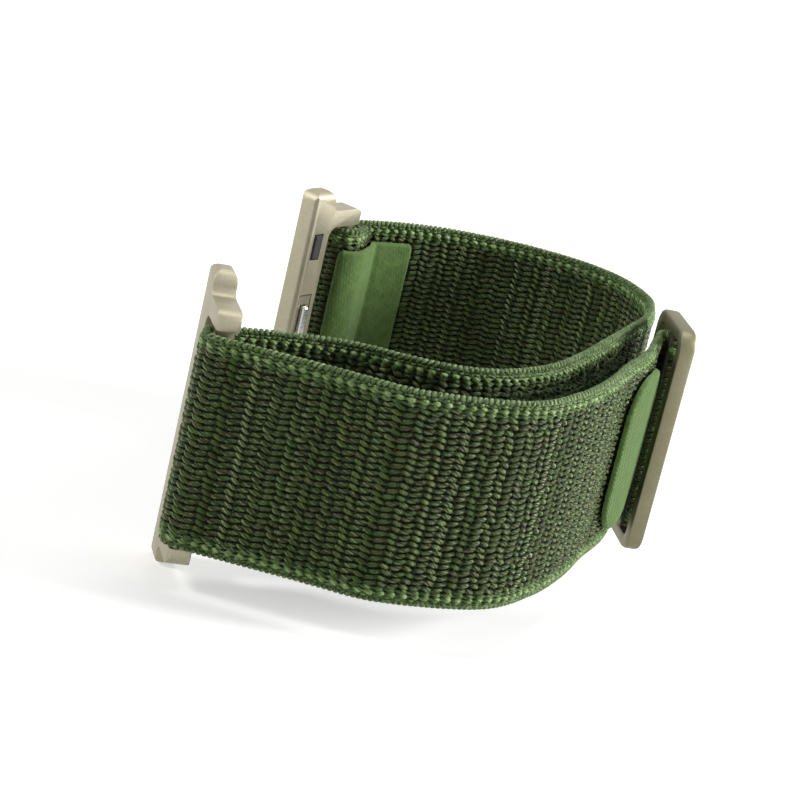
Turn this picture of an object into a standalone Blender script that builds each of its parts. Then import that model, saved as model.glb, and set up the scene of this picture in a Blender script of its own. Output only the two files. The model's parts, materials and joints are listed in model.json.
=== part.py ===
"""Woven watch strap with two case connectors and a metal buckle frame.

The strap stands on its long edge, as it does in the photograph: Z runs across the strip, X runs from the
watch towards the buckle, and Y from the near connector to the far one. One woven strip is fixed round the
far connector's bar, goes round the wrist, passes through the near connector's slot, folds back round its bar
and lies on itself as the tail, which ends round the centre bar of the buckle frame. A hook patch on the tail
grips a loop patch on the inner layer. The tail peels open, the frame turns on its centre bar, each connector
turns on its own bar, and each connector's rail holds a sprung latch for the watch case.
"""

import math

import bmesh
import bpy
from mathutils import Matrix, Vector

# Driving dimensions, in metres.

# Woven strip
BAND_WIDTH = 0.0240
BAND_THICKNESS = 0.0013
BAND_EDGE = 0.00035          # rounding of the strip's long edges
SEAT_GAP = 0.0003            # between the strip and what it is folded round or bonded to

# Watch case that the strap fits, and the loop it makes
RAIL_SPACING = 0.0420        # between the centres of the two rails, in a 45 mm case
LOOP_DEPTH = 0.0420          # from the rails to the far side of the loop
BELLY = 0.0060               # how far the tail bows away from the inner layer
BUCKLE_STATION = 0.0665      # along the inner layer, from the near bar to the buckle's centre bar
HINGE_DISTANCE = 0.0030      # along the tail, from the near bar to where it bends open

# Case connector: rail, two ears and a bar, in one piece of metal
RAIL_LENGTH = 0.0340
RAIL_THICKNESS = 0.0026
RAIL_DEPTH = 0.0038
RAIL_ROUND = 0.0007
RAIL_END_ROUND = 0.0015
BAR_REACH = 0.0065           # from the rail's centre to the bar's centre
CONNECTOR_LEAN = 25.0        # degrees that the connector leans towards the wrist
BAR_RADIUS = 0.0010
RAIL_SIDE_ROUND = 0.0011     # rounding of the rail's ends across its thickness
EAR_WALL = 0.0021
EAR_LAND = 0.0003            # how far the ear stands out round the bar
EAR_ROUND = 0.0010           # where the ear's top curves up into the rail
EAR_FRONT_ROUND = 0.0013     # where it curves down over the bar
EAR_EDGE = 0.00045
SLOT_CLEARANCE = 0.0003      # between the strip's edge and the ear
SLOT_ROUND = 0.0013

# Sprung latch in the rail
FIT_GAP = 0.00015
NOSE_LENGTH = 0.0050
NOSE_WIDTH = 0.0010
NOSE_PROUD = 0.0006          # how far the nose stands out of the rail, and its travel
NOSE_ROUND = 0.00025
FLANGE_RIM = 0.0005          # how far the flange is wider than the nose at each end
FLANGE_SIDE = 0.0002
FLANGE_THICKNESS = 0.0004
RETAINER_THICKNESS = 0.0003
RETAINER_RIM = 0.0006        # how far the retainer laps the pocket at each end
RETAINER_SIDE = 0.0002
POCKET_FLOOR = 0.0006        # metal left under the spring
SPRING_THICKNESS = 0.0002
SPRING_WIDTH = 0.0009
SPRING_LENGTH = 0.0052

# Friction pads in the rail
GRIP_LENGTH = 0.0030
GRIP_WIDTH = 0.0014
GRIP_DEPTH = 0.0009
GRIP_PROUD = 0.00015
GRIP_OFFSET = 0.0100         # from the middle of the rail

# Pads bonded to the strip
PAD_THICKNESS = 0.0008
PAD_INSET = 0.0025           # from the strip's long edges
PAD_CORNER = 0.0008
PAD_EDGE = 0.0002
FAR_PAD_LENGTH = 0.0115      # from where the strip leaves the far bar
FAR_PAD_WRAP = 75.0          # degrees that the far pad goes round the fold
FLAP_LENGTH = 0.0036         # folded end of the strip, past the far bar
TAIL_PAD_LENGTH = 0.0125
TAIL_PAD_CORNER = 0.0038
TAIL_PAD_LAP = 0.0008        # how far the tail's pad passes under the frame's near bar

# Hook and loop closure
HOOK_THICKNESS = 0.0012
HOOK_LENGTH = 0.0140
LOOP_THICKNESS = 0.0012
LOOP_PATCH_LENGTH = 0.0290
CLOSURE_INSET = 0.0018
CLOSURE_GAP = 0.0005         # left between hooks and loops
CLOSURE_CORNER = 0.0010
CLOSURE_MARGIN = 0.0080      # from the buckle's centre bar back to the closure

# Buckle frame with three bars
FRAME_WALL = 0.0018
FRAME_SLOT = 0.0028
FRAME_THICKNESS = 0.0019
FRAME_END_WALL = 0.0016
FRAME_CORNER = 0.0021
WINDOW_CORNER = 0.0007
FRAME_BEVEL = 0.0003
CENTRE_BAR_RADIUS = 0.0009
BUCKLE_TILT = 33.0           # degrees between the frame and the inner layer
BUCKLE_CLEARANCE = 0.0006
TAIL_WRAP = 280.0            # degrees that the tail's end wraps the centre bar

# Counts
FOLD_STEPS = 14
CORNER_STEPS = 4
ROUTE_STEP = 0.0016
FINE_STEP = 0.0012
OVERRUN = 0.0010             # how far a cutter passes the face that it cuts

# The loop's route in plan, from the near connector round to the far one.
# Each pair is a share of LOOP_DEPTH and a share of the distance from the middle to a bar.
WRIST_ROUTE_SHARES = (
    (0.202, -0.773), (0.350, -0.665), (0.488, -0.640), (0.607, -0.598), (0.705, -0.498),
    (0.783, -0.342), (0.838, -0.167), (0.883, 0.086), (0.921, 0.372), (0.957, 0.651),
    (0.983, 0.855), (0.990, 1.041), (0.960, 1.242), (0.857, 1.440), (0.702, 1.532),
    (0.500, 1.524), (0.310, 1.428), (0.167, 1.271),
)
# The tail's bow: each pair is a share of BUCKLE_STATION and a share of BELLY.
TAIL_ROUTE_SHARES = (
    (0.16, 0.78), (0.26, 0.94), (0.35, 0.94), (0.45, 0.72), (0.54, 0.42), (0.64, 0.17),
    (0.74, 0.03), (0.86, 0.0),
)

# Colours read from the photograph, linear, with roughness and metallic values.
FINISHES = {
    "woven_green": ((0.030, 0.066, 0.022), 0.85, 0.0),
    "twill_green": ((0.085, 0.190, 0.070), 0.80, 0.0),
    "loop_green": ((0.022, 0.050, 0.018), 0.95, 0.0),
    "hook_green": ((0.030, 0.060, 0.026), 0.60, 0.0),
    "champagne_metal": ((0.480, 0.430, 0.330), 0.32, 1.0),
    "spring_steel": ((0.450, 0.450, 0.460), 0.30, 1.0),
    "black_rubber": ((0.020, 0.020, 0.020), 0.80, 0.0),
}


# Plan geometry

def turned(vector, degrees):
    """The plan vector turned anticlockwise."""
    return Vector(vector) @ Matrix.Rotation(math.radians(-degrees), 2)


def right_of(heading):
    return Vector((heading.y, -heading.x))


def direction(degrees):
    return Vector((math.cos(math.radians(degrees)), math.sin(math.radians(degrees))))


def arc(centre, radius, start, end, steps):
    """Points of an arc, ends included, angles in degrees."""
    return [centre + radius * direction(start + (end - start) * i / steps) for i in range(steps + 1)]


def tangent_angle(centre, radius, point, side):
    """The angle, in degrees, at which a strip from the point first touches the circle on one side."""
    away = point - centre
    return math.degrees(math.atan2(away.y, away.x) + side * math.acos(radius / away.length))


def distances(path):
    """The distance of each point along a path."""
    total = [0.0]
    for start, end in zip(path, path[1:]):
        total.append(total[-1] + (end - start).length)
    return total


def at(path, distance):
    """The point and heading at a distance along a path."""
    total = distances(path)
    for i in range(len(path) - 1):
        if distance <= total[i + 1] or i == len(path) - 2:
            step = path[i + 1] - path[i]
            return path[i] + step * ((distance - total[i]) / step.length), step.normalized()


def smooth_through(points, step):
    """A smooth curve through hand-chosen points, which leaves both ends straight."""
    chain = [2 * points[0] - points[1]] + points + [2 * points[-1] - points[-2]]
    curve = []
    for before, start, end, after in zip(chain, chain[1:], chain[2:], chain[3:]):
        count = max(1, round((end - start).length / step))
        for i in range(count):
            t = i / count
            curve.append(0.5 * (2 * start + (end - before) * t
                                + (2 * before - 5 * start + 4 * end - after) * t ** 2
                                + (3 * start - before - 3 * end + after) * t ** 3))
    return curve + [points[-1]]


def stretch(path, start, end, step):
    """The part of a path between two distances, with points every step."""
    count = max(2, math.ceil((end - start) / step))
    return [at(path, start + (end - start) * i / count)[0] for i in range(count + 1)]


def keep_between(path, start, end):
    """The part of a path between two distances, with the path's own points."""
    total = distances(path)
    inner = [p for p, d in zip(path, total) if start + SEAT_GAP < d < end - SEAT_GAP]
    return [at(path, start)[0]] + inner + [at(path, end)[0]]


def offset(path, distance):
    """The path moved to its right by a distance."""
    moved = []
    for i, point in enumerate(path):
        heading = (path[min(i + 1, len(path) - 1)] - path[max(i - 1, 0)]).normalized()
        moved.append(point + right_of(heading) * distance)
    return moved


# Solids

def mesh_object(name, bm, finish=None):
    """A named object from a bmesh, with faces out and rounded faces shaded smooth."""
    bmesh.ops.recalc_face_normals(bm, faces=bm.faces)
    mesh = bpy.data.meshes.new(name)
    bm.to_mesh(mesh)
    bm.free()
    obj = bpy.data.objects.new(name, mesh)
    bpy.context.scene.collection.objects.link(obj)
    if finish:
        mesh.materials.append(material(finish))
    mesh.shade_smooth()
    mesh.set_sharp_from_angle(angle=math.radians(35))
    return obj


def material(finish):
    found = bpy.data.materials.get(finish)
    if found:
        return found
    colour, roughness, metallic = FINISHES[finish]
    made = bpy.data.materials.new(finish)
    made.use_nodes = True
    shader = made.node_tree.nodes["Principled BSDF"]
    shader.inputs["Base Color"].default_value = (*colour, 1.0)
    shader.inputs["Roughness"].default_value = roughness
    shader.inputs["Metallic"].default_value = metallic
    return made


def section(thickness, half_width, edge):
    """A rounded rectangle across a strip, as eight points."""
    side, top = thickness / 2, half_width
    quarter = ((side, top - edge), (side - edge, top))
    ring = list(quarter) + [(-x, z) for x, z in reversed(quarter)]
    return ring + [(-x, -z) for x, z in ring]


def strip_solid(name, path, thickness, width, edge, finish, corner=0.0, origin=Vector((0, 0))):
    """A flat strip lofted along a plan path, standing on edge, with rounded end corners."""
    if corner:
        total = distances(path)[-1]
        ends = [corner * (1 - math.cos(math.pi / 2 * i / CORNER_STEPS)) for i in range(CORNER_STEPS)]
        inner = [at(path, d)[0] for d in ends]
        outer = [at(path, total - d)[0] for d in reversed(ends)]
        path = inner + keep_between(path, corner, total - corner) + outer
    total = distances(path)
    bm = bmesh.new()
    rings = []
    for i, point in enumerate(path):
        heading = (path[min(i + 1, len(path) - 1)] - path[max(i - 1, 0)]).normalized()
        side = right_of(heading)
        from_end = min(total[i], total[-1] - total[i])
        inside = max(0.0, corner - from_end)
        half = width / 2 - (corner - math.sqrt(max(0.0, corner ** 2 - inside ** 2)))
        ring = [bm.verts.new((point.x - origin.x + side.x * x, point.y - origin.y + side.y * x, z))
                for x, z in section(thickness, half, edge)]
        rings.append([bm.edges.new((a, b)) for a, b in zip(ring, ring[1:] + ring[:1])])
    for first, second in zip(rings, rings[1:]):
        bmesh.ops.bridge_loops(bm, edges=first + second)
    for ring in (rings[0], rings[-1]):
        bmesh.ops.edgeloop_fill(bm, edges=ring)
    obj = mesh_object(name, bm, finish)
    obj.location = (origin.x, origin.y, 0.0)
    return obj


def rounded_outline(corners):
    """Points of an outline from corners given as two coordinates and a radius."""
    outline = []
    for i, (x, y, radius) in enumerate(corners):
        here = Vector((x, y))
        back = (Vector(corners[i - 1][:2]) - here).normalized()
        on = (Vector(corners[(i + 1) % len(corners)][:2]) - here).normalized()
        half = back.angle(on) / 2
        if not radius:
            outline.append(here)
            continue
        reach = radius / math.tan(half)
        centre = here + (back + on).normalized() * (radius / math.sin(half))
        start, end = here + back * reach - centre, here + on * reach - centre
        turn = math.atan2(start.x * end.y - start.y * end.x, start.dot(end))
        for k in range(CORNER_STEPS + 1):
            outline.append(centre + turned(start, math.degrees(turn) * k / CORNER_STEPS))
    return outline


def prism(name, outline, low, high, axis):
    """An outline in the two other axes, in their order, pushed out along X, Y or Z."""
    bm = bmesh.new()
    way = "XYZ".index(axis)

    def place(point, level):
        place = list(point)
        place.insert(way, level)
        return place

    face = bm.faces.new([bm.verts.new(place(p, low)) for p in outline])
    grown = bmesh.ops.extrude_face_region(bm, geom=[face])
    verts = [v for v in grown["geom"] if isinstance(v, bmesh.types.BMVert)]
    bmesh.ops.translate(bm, verts=verts, vec=place((0.0, 0.0), high - low))
    return mesh_object(name, bm)


def box_outline(half_x, half_y, radius, x=0.0, y=0.0):
    return rounded_outline([(x + half_x, y + half_y, radius), (x - half_x, y + half_y, radius),
                            (x - half_x, y - half_y, radius), (x + half_x, y - half_y, radius)])


def round_bar(name, radius, half_length):
    bm = bmesh.new()
    bmesh.ops.create_cone(bm, cap_ends=True, segments=20, radius1=radius, radius2=radius,
                          depth=2 * half_length)
    return mesh_object(name, bm)


def baked(obj):
    """Replaces an object's mesh by what its modifiers make of it."""
    bpy.context.view_layer.update()
    shaped = obj.evaluated_get(bpy.context.evaluated_depsgraph_get())
    mesh = bpy.data.meshes.new_from_object(shaped)
    obj.modifiers.clear()
    obj.data = mesh
    mesh.name = obj.name
    return obj


def combine(obj, operation, *tools):
    """Cuts, joins or intersects a solid with others, which are used up."""
    for tool in tools:
        step = obj.modifiers.new(operation, "BOOLEAN")
        step.operation = operation
        step.solver = "EXACT"
        step.object = tool
        baked(obj)
        bpy.data.objects.remove(tool)
    return obj


def bevelled(obj, width, segments):
    edge = obj.modifiers.new("Edges", "BEVEL")
    edge.width = width
    edge.segments = segments
    edge.limit_method = "ANGLE"
    edge.angle_limit = math.radians(40)
    return baked(obj)


def finished(obj, finish):
    obj.data.materials.clear()
    obj.data.materials.append(material(finish))
    obj.data.shade_smooth()
    obj.data.set_sharp_from_angle(angle=math.radians(35))
    return obj


def pivot(name, parent, location=(0, 0, 0), rotation=(0, 0, 0)):
    """An empty on a joint's axis, which carries the body that moves there."""
    empty = bpy.data.objects.new(name, None)
    bpy.context.scene.collection.objects.link(empty)
    empty.parent = parent
    empty.location = location
    empty.rotation_euler = rotation
    return empty


# The strip and what is bonded to it

def loop_route():
    """The plan route of the whole strip, and the places that other pieces need."""
    fold_radius = BAR_RADIUS + SEAT_GAP + BAND_THICKNESS / 2
    lean = direction(90.0 - CONNECTOR_LEAN) * BAR_REACH
    far_bar = Vector((lean.x, RAIL_SPACING / 2 + lean.y))
    near_bar = Vector((far_bar.x, -far_bar.y))
    wrist = [Vector((x * LOOP_DEPTH, y * far_bar.y)) for x, y in WRIST_ROUTE_SHARES]

    near_touch = tangent_angle(near_bar, fold_radius, wrist[0], 1)
    far_touch = tangent_angle(far_bar, fold_radius, wrist[-1], 1)
    wrist = ([near_bar + fold_radius * direction(near_touch)] + wrist
             + [far_bar + fold_radius * direction(far_touch)])
    inner = smooth_through(wrist, ROUTE_STEP)

    # The buckle stands off the inner layer far enough for its far bar to clear it.
    tilt = math.radians(BUCKLE_TILT)
    bar_pitch = FRAME_WALL + FRAME_SLOT
    stand_off = (bar_pitch * math.sin(tilt) + FRAME_THICKNESS / 2 * math.cos(tilt)
                 + FRAME_WALL / 2 * math.sin(tilt) + BAND_THICKNESS / 2 + BUCKLE_CLEARANCE)
    station, heading = at(inner, BUCKLE_STATION)
    buckle = station + right_of(heading) * stand_off
    frame_angle = math.degrees(math.atan2(heading.y, heading.x)) + BUCKLE_TILT - 90.0

    # The tail lies on the closure's patches, and bows away before them.
    stack = BAND_THICKNESS + HOOK_THICKNESS + LOOP_THICKNESS + 2 * SEAT_GAP + CLOSURE_GAP
    tail = []
    for along_share, bow_share in TAIL_ROUTE_SHARES:
        point, heading = at(inner, along_share * BUCKLE_STATION)
        tail.append(point + right_of(heading) * (stack + bow_share * BELLY))
    leave = tangent_angle(near_bar, fold_radius, tail[0], -1) % 360.0
    end_radius = CENTRE_BAR_RADIUS + SEAT_GAP + BAND_THICKNESS / 2
    reach_bar = tangent_angle(buckle, end_radius, tail[-1], -1)
    tail = ([near_bar + fold_radius * direction(leave)] + tail
            + [buckle + end_radius * direction(reach_bar)])

    return {
        "near_bar": near_bar, "far_bar": far_bar, "fold_radius": fold_radius, "inner": inner,
        "near_fold": arc(near_bar, fold_radius, near_touch, leave, FOLD_STEPS),
        "far_touch": far_touch, "tail": smooth_through(tail, ROUTE_STEP),
        "buckle": buckle, "frame_angle": frame_angle,
        "end_loop": arc(buckle, end_radius, reach_bar, reach_bar - TAIL_WRAP, FOLD_STEPS + CORNER_STEPS),
    }


def far_flap(route):
    """The strip's folded end at the far bar: from its tip, round the bar, to the back run."""
    back_run = list(reversed(route["inner"]))
    past_bar, heading = at(back_run, FLAP_LENGTH)
    tip = past_bar + right_of(heading) * (BAND_THICKNESS + SEAT_GAP)
    start = tangent_angle(route["far_bar"], route["fold_radius"], tip, -1) + 360.0
    touch = route["far_bar"] + route["fold_radius"] * direction(start)
    fold = arc(route["far_bar"], route["fold_radius"], start, route["far_touch"], FOLD_STEPS)
    return [tip, (tip + touch) / 2] + fold


def woven_strip(route):
    """The strip's wrist run and its tail, which part where the tail bends open."""
    flap = far_flap(route)
    wrist = flap[:-1] + list(reversed(route["inner"])) + route["near_fold"][1:]
    tail_start = distances(wrist)[-1] + HINGE_DISTANCE
    whole = wrist + route["tail"][1:] + route["end_loop"][1:]
    hinge, heading = at(whole, tail_start)
    hinge += right_of(heading) * BAND_THICKNESS / 2
    wrist_run = keep_between(whole, 0.0, tail_start - SEAT_GAP / 2)
    tail_run = keep_between(whole, tail_start + SEAT_GAP / 2, distances(whole)[-1])
    return wrist_run, tail_run, hinge


def far_pad_path(route):
    """The far pad goes round the fold and along the folded end, and steps down past its tip."""
    rise = BAND_THICKNESS / 2 + SEAT_GAP + PAD_THICKNESS / 2
    flap = far_flap(route)
    back_run = list(reversed(route["inner"]))
    tip, middle, touch = flap[:3]
    outwards = right_of((tip - middle).normalized())
    leave = touch - route["far_bar"]
    leave = math.degrees(math.atan2(leave.y, leave.x))
    round_fold = arc(route["far_bar"], route["fold_radius"] + rise, leave - FAR_PAD_WRAP, leave, CORNER_STEPS)
    step_down = FLAP_LENGTH + BAND_THICKNESS + PAD_THICKNESS
    beyond = keep_between(back_run, step_down, FAR_PAD_LENGTH)
    return round_fold + [middle + outwards * rise, tip + outwards * rise] + offset(beyond, rise)


def add_soft_parts(route, root):
    """The strip, its pads and its patches; returns the empty on which the tail turns."""
    wrist_run, tail_run, hinge = woven_strip(route)
    strip = (BAND_THICKNESS, BAND_WIDTH, BAND_EDGE, "woven_green")
    run = strip_solid("woven_band_wrist_run", wrist_run, *strip)
    run.parent = root

    far_pad = strip_solid("far_anchor_pad", far_pad_path(route), PAD_THICKNESS,
                          BAND_WIDTH - 2 * PAD_INSET, PAD_EDGE, "twill_green", PAD_CORNER)
    far_pad.parent = root

    closure_end = BUCKLE_STATION - CLOSURE_MARGIN
    patch_width = BAND_WIDTH - 2 * CLOSURE_INSET
    lift = BAND_THICKNESS / 2 + SEAT_GAP
    loops = stretch(route["inner"], closure_end - LOOP_PATCH_LENGTH, closure_end, FINE_STEP)
    loop_patch = strip_solid("loop_patch", offset(loops, lift + LOOP_THICKNESS / 2), LOOP_THICKNESS,
                             patch_width, PAD_EDGE, "loop_green", CLOSURE_CORNER)
    loop_patch.parent = root

    tail_pivot = pivot("tail_pivot", root, (hinge.x, hinge.y, 0.0))
    frame_slot = FRAME_WALL + FRAME_SLOT
    tail_end = distances(route["tail"])[-1]
    pad_end = tail_end - frame_slot + FRAME_WALL / 2 + TAIL_PAD_LAP
    hook_end = tail_end - CLOSURE_MARGIN
    hooks = stretch(route["tail"], hook_end - HOOK_LENGTH, hook_end, FINE_STEP)
    outside = stretch(route["tail"], pad_end - TAIL_PAD_LENGTH, pad_end, FINE_STEP)
    moving = (
        strip_solid("woven_band_tail", tail_run, *strip, origin=hinge),
        strip_solid("hook_patch", offset(hooks, -lift - HOOK_THICKNESS / 2), HOOK_THICKNESS,
                    patch_width, PAD_EDGE, "hook_green", CLOSURE_CORNER, hinge),
        strip_solid("tail_anchor_pad", offset(outside, lift + PAD_THICKNESS / 2), PAD_THICKNESS,
                    BAND_WIDTH - 2 * PAD_INSET, PAD_EDGE, "twill_green", TAIL_PAD_CORNER, hinge),
    )
    for obj in moving:
        obj.location = (0, 0, 0)
        obj.parent = tail_pivot
    print("tail hinge", hinge.x, hinge.y)
    return tail_pivot, hinge


# The buckle frame

def add_buckle(route, tail_pivot, hinge):
    """A three-bar frame; its local X points out of the loop and its local Y along the strip."""
    half_height = BAND_WIDTH / 2 + SLOT_CLEARANCE
    half_length = 1.5 * FRAME_WALL + FRAME_SLOT
    frame = prism("buckle_frame", box_outline(half_length, half_height + FRAME_END_WALL, FRAME_CORNER),
                  -FRAME_THICKNESS / 2, FRAME_THICKNESS / 2, "X")
    window = prism("window", box_outline(half_length - FRAME_WALL, half_height, WINDOW_CORNER),
                   -FRAME_THICKNESS, FRAME_THICKNESS, "X")
    combine(frame, "DIFFERENCE", window)
    bevelled(frame, FRAME_BEVEL, 2)
    centre_bar = round_bar("centre_bar", CENTRE_BAR_RADIUS, half_height + FRAME_END_WALL / 2)
    combine(frame, "UNION", centre_bar)
    finished(frame, "champagne_metal")
    place = route["buckle"] - hinge
    turn = math.radians(route["frame_angle"])
    frame_pivot = pivot("buckle_pivot", tail_pivot, (place.x, place.y, 0.0), (0.0, 0.0, turn))
    frame.parent = frame_pivot
    print("buckle axis", route["buckle"].x, route["buckle"].y, "angle", route["frame_angle"])


# The case connectors
# Local axes: Z along the bar, X towards the wrist, Y from the bar to the rail.

def connector_mesh():
    """Rail, two ears and bar in one piece, with pockets for the latch and the friction pads."""
    rail_in, rail_out = BAR_REACH - RAIL_DEPTH / 2, BAR_REACH + RAIL_DEPTH / 2
    ear_end = BAR_RADIUS + EAR_LAND
    slot_top = BAND_WIDTH / 2 + SLOT_CLEARANCE
    ear_top, rail_top = slot_top + EAR_WALL, RAIL_LENGTH / 2
    half_outline = [
        (-ear_end, slot_top, 0.0), (rail_in, slot_top, SLOT_ROUND),
    ]
    outer_side = [
        (rail_out, rail_top, RAIL_END_ROUND), (rail_in, rail_top, RAIL_END_ROUND),
        (rail_in, ear_top, EAR_ROUND), (-ear_end, ear_top, EAR_FRONT_ROUND),
    ]
    upper = outer_side + half_outline
    lower = [(y, -z, r) for y, z, r in reversed(upper)]
    plate = prism("connector_frame", rounded_outline(upper + lower), -RAIL_THICKNESS, RAIL_THICKNESS, "X")
    half = RAIL_THICKNESS / 2
    profile = rounded_outline([
        (half, -ear_end, EAR_EDGE), (half, rail_out, RAIL_ROUND),
        (-half, rail_out, RAIL_ROUND), (-half, -ear_end, EAR_EDGE),
    ])
    front = box_outline(half, rail_top, RAIL_SIDE_ROUND)
    combine(plate, "INTERSECT", prism("profile", profile, -rail_top - OVERRUN, rail_top + OVERRUN, "Z"),
            prism("front", front, -ear_end - OVERRUN, rail_out + OVERRUN, "Y"))
    combine(plate, "UNION", round_bar("bar", BAR_RADIUS, slot_top + EAR_WALL / 2))
    combine(plate, "DIFFERENCE", *pocket_cutters())
    return finished(plate, "champagne_metal")


def latch_sizes():
    """Half sizes of the latch's pieces, and the levels at which they meet, from the rail's face down."""
    face = RAIL_THICKNESS / 2
    nose = (NOSE_LENGTH / 2, NOSE_WIDTH / 2)
    flange = (nose[0] + FLANGE_RIM, nose[1] + FLANGE_SIDE)
    pocket = (flange[0] + FIT_GAP, flange[1] + FIT_GAP)
    retainer = (pocket[0] + RETAINER_RIM, pocket[1] + RETAINER_SIDE)
    recess_floor = face - RETAINER_THICKNESS - FIT_GAP
    flange_top = recess_floor
    return {
        "face": face, "nose": nose, "flange": flange, "pocket": pocket, "retainer": retainer,
        "recess": (retainer[0] + FIT_GAP, retainer[1] + FIT_GAP),
        "window": (nose[0] + FIT_GAP, nose[1] + FIT_GAP),
        "recess_floor": recess_floor, "retainer_low": recess_floor + FIT_GAP / 2,
        "flange_top": flange_top, "flange_low": flange_top - FLANGE_THICKNESS,
        "pocket_floor": POCKET_FLOOR - RAIL_THICKNESS / 2,
    }


def rail_prism(name, half, low, high, z=0.0, radius=0.0):
    """A block with its outline in the rail's face and its sides towards the wrist."""
    return prism(name, box_outline(half[1], half[0], radius, BAR_REACH, z), low, high, "X")


def pocket_cutters():
    s = latch_sizes()
    cutters = [rail_prism("recess", s["recess"], s["recess_floor"], s["face"] + OVERRUN),
               rail_prism("pocket", s["pocket"], s["pocket_floor"], s["face"] + OVERRUN)]
    grip = (GRIP_LENGTH / 2 + FIT_GAP, GRIP_WIDTH / 2 + FIT_GAP)
    for side in (-1, 1):
        cutters.append(rail_prism("grip_pocket", grip, s["face"] - GRIP_DEPTH - FIT_GAP,
                                  s["face"] + OVERRUN, side * GRIP_OFFSET))
    return cutters


def plunger_mesh():
    s = latch_sizes()
    nose = rail_prism("latch_plunger", s["nose"], s["flange_low"] + FLANGE_THICKNESS / 2,
                      s["face"] + NOSE_PROUD)
    bevelled(nose, NOSE_ROUND, 2)
    flange = rail_prism("flange", s["flange"], s["flange_low"], s["flange_top"])
    combine(nose, "UNION", flange)
    return finished(nose, "spring_steel")


def retainer_mesh():
    s = latch_sizes()
    plate = rail_prism("latch_retainer", s["retainer"], s["retainer_low"],
                       s["retainer_low"] + RETAINER_THICKNESS)
    window = rail_prism("window", s["window"], s["retainer_low"] - OVERRUN, s["face"] + OVERRUN)
    combine(plate, "DIFFERENCE", window)
    return finished(plate, "champagne_metal")


def spring_mesh():
    """A bowed leaf whose feet stand on the pocket's floor and whose crown carries the plunger."""
    s = latch_sizes()
    low = s["pocket_floor"] + SPRING_THICKNESS / 2 + FIT_GAP / 2
    high = s["flange_low"] - SPRING_THICKNESS / 2 - FIT_GAP / 2
    feet, steps = SPRING_LENGTH / 2, 4 * CORNER_STEPS
    bow = []
    for i in range(steps + 1):
        share = 2 * i / steps - 1
        bow.append(Vector((low + (high - low) * math.cos(math.pi / 2 * share) ** 2, feet * share)))
    leaf = strip_solid("latch_spring", bow, SPRING_THICKNESS, SPRING_WIDTH, SPRING_THICKNESS / 4,
                       "spring_steel")
    # The bow is drawn in X and Y and then stood up along the rail.
    stand_up = Matrix.Translation((0, BAR_REACH, 0)) @ Matrix(((1, 0, 0, 0), (0, 0, -1, 0), (0, 1, 0, 0),
                                                               (0, 0, 0, 1)))
    leaf.data.transform(stand_up)
    return leaf


def grip_mesh():
    s = latch_sizes()
    low, high = s["face"] - GRIP_DEPTH, s["face"] + GRIP_PROUD
    block = rail_prism("grip", (GRIP_LENGTH / 2, GRIP_WIDTH / 2), low, high)
    bevelled(block, FIT_GAP, 1)
    return finished(block, "black_rubber")


def add_connectors(route, root):
    """Both connectors are the same piece: the far one is the near one turned over."""
    frame, plunger, retainer = connector_mesh(), plunger_mesh(), retainer_mesh()
    spring, grip = spring_mesh(), grip_mesh()
    sides = (("near", route["near_bar"], 0.0, CONNECTOR_LEAN),
             ("far", route["far_bar"], math.pi, -CONNECTOR_LEAN))
    for side, bar, flip, lean in sides:
        # Turned over about X first, then leaned about the bar.
        turn = (Matrix.Rotation(math.radians(lean), 3, "Z") @ Matrix.Rotation(flip, 3, "X")).to_euler()
        axle = pivot(side + "_connector_pivot", root, (bar.x, bar.y, 0.0), turn)
        for piece in (frame, retainer, spring, plunger):
            copy = bpy.data.objects.new(side + "_" + piece.name, piece.data)
            bpy.context.scene.collection.objects.link(copy)
            copy.parent = axle
        for end, z in (("upper", GRIP_OFFSET), ("lower", -GRIP_OFFSET)):
            copy = bpy.data.objects.new(side + "_friction_pad_" + end, grip.data)
            bpy.context.scene.collection.objects.link(copy)
            copy.parent = axle
            copy.location = (0, 0, z if not flip else -z)
        print(side, "bar", bar.x, bar.y, "lean", lean)
    for piece in (frame, plunger, retainer, spring, grip):
        bpy.data.objects.remove(piece)


def stand_on_origin(root):
    """Moves the whole strap so that its box stands centred on the origin."""
    bpy.context.view_layer.update()
    corners = [obj.matrix_world @ v.co for obj in bpy.data.objects if obj.type == "MESH"
               for v in obj.data.vertices]
    low = [min(c[i] for c in corners) for i in range(3)]
    high = [max(c[i] for c in corners) for i in range(3)]
    root.location = (-(low[0] + high[0]) / 2, -(low[1] + high[1]) / 2, -low[2])
    print("box", [round(h - l, 6) for l, h in zip(low, high)], "moved by", tuple(root.location))


def main():
    for obj in list(bpy.data.objects):
        bpy.data.objects.remove(obj, do_unlink=True)
    root = pivot("watch_strap", None)
    route = loop_route()
    tail_pivot, hinge = add_soft_parts(route, root)
    add_buckle(route, tail_pivot, hinge)
    add_connectors(route, root)
    stand_on_origin(root)


main()
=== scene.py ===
# %% [markdown]
# # A woven wrist strap, dressed
# The real object is a 24 mm wide nylon strap. One woven strip is folded round a metal connector,
# goes round the wrist, passes through the second connector, folds back on itself and is held by hooks and
# loops, and a metal frame hangs on its end as a handle.
# The imported CAD model fixes every size, place and joint. This script could only colour those plain solids, but
# a woven strap lives by its threads, so the strip is woven here thread by thread along the same route. The
# first cell loads the frame.

# %% Load the imported strap
import json
import math

import bmesh
import bpy
import numpy as np
from mathutils import Matrix, Vector


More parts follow.
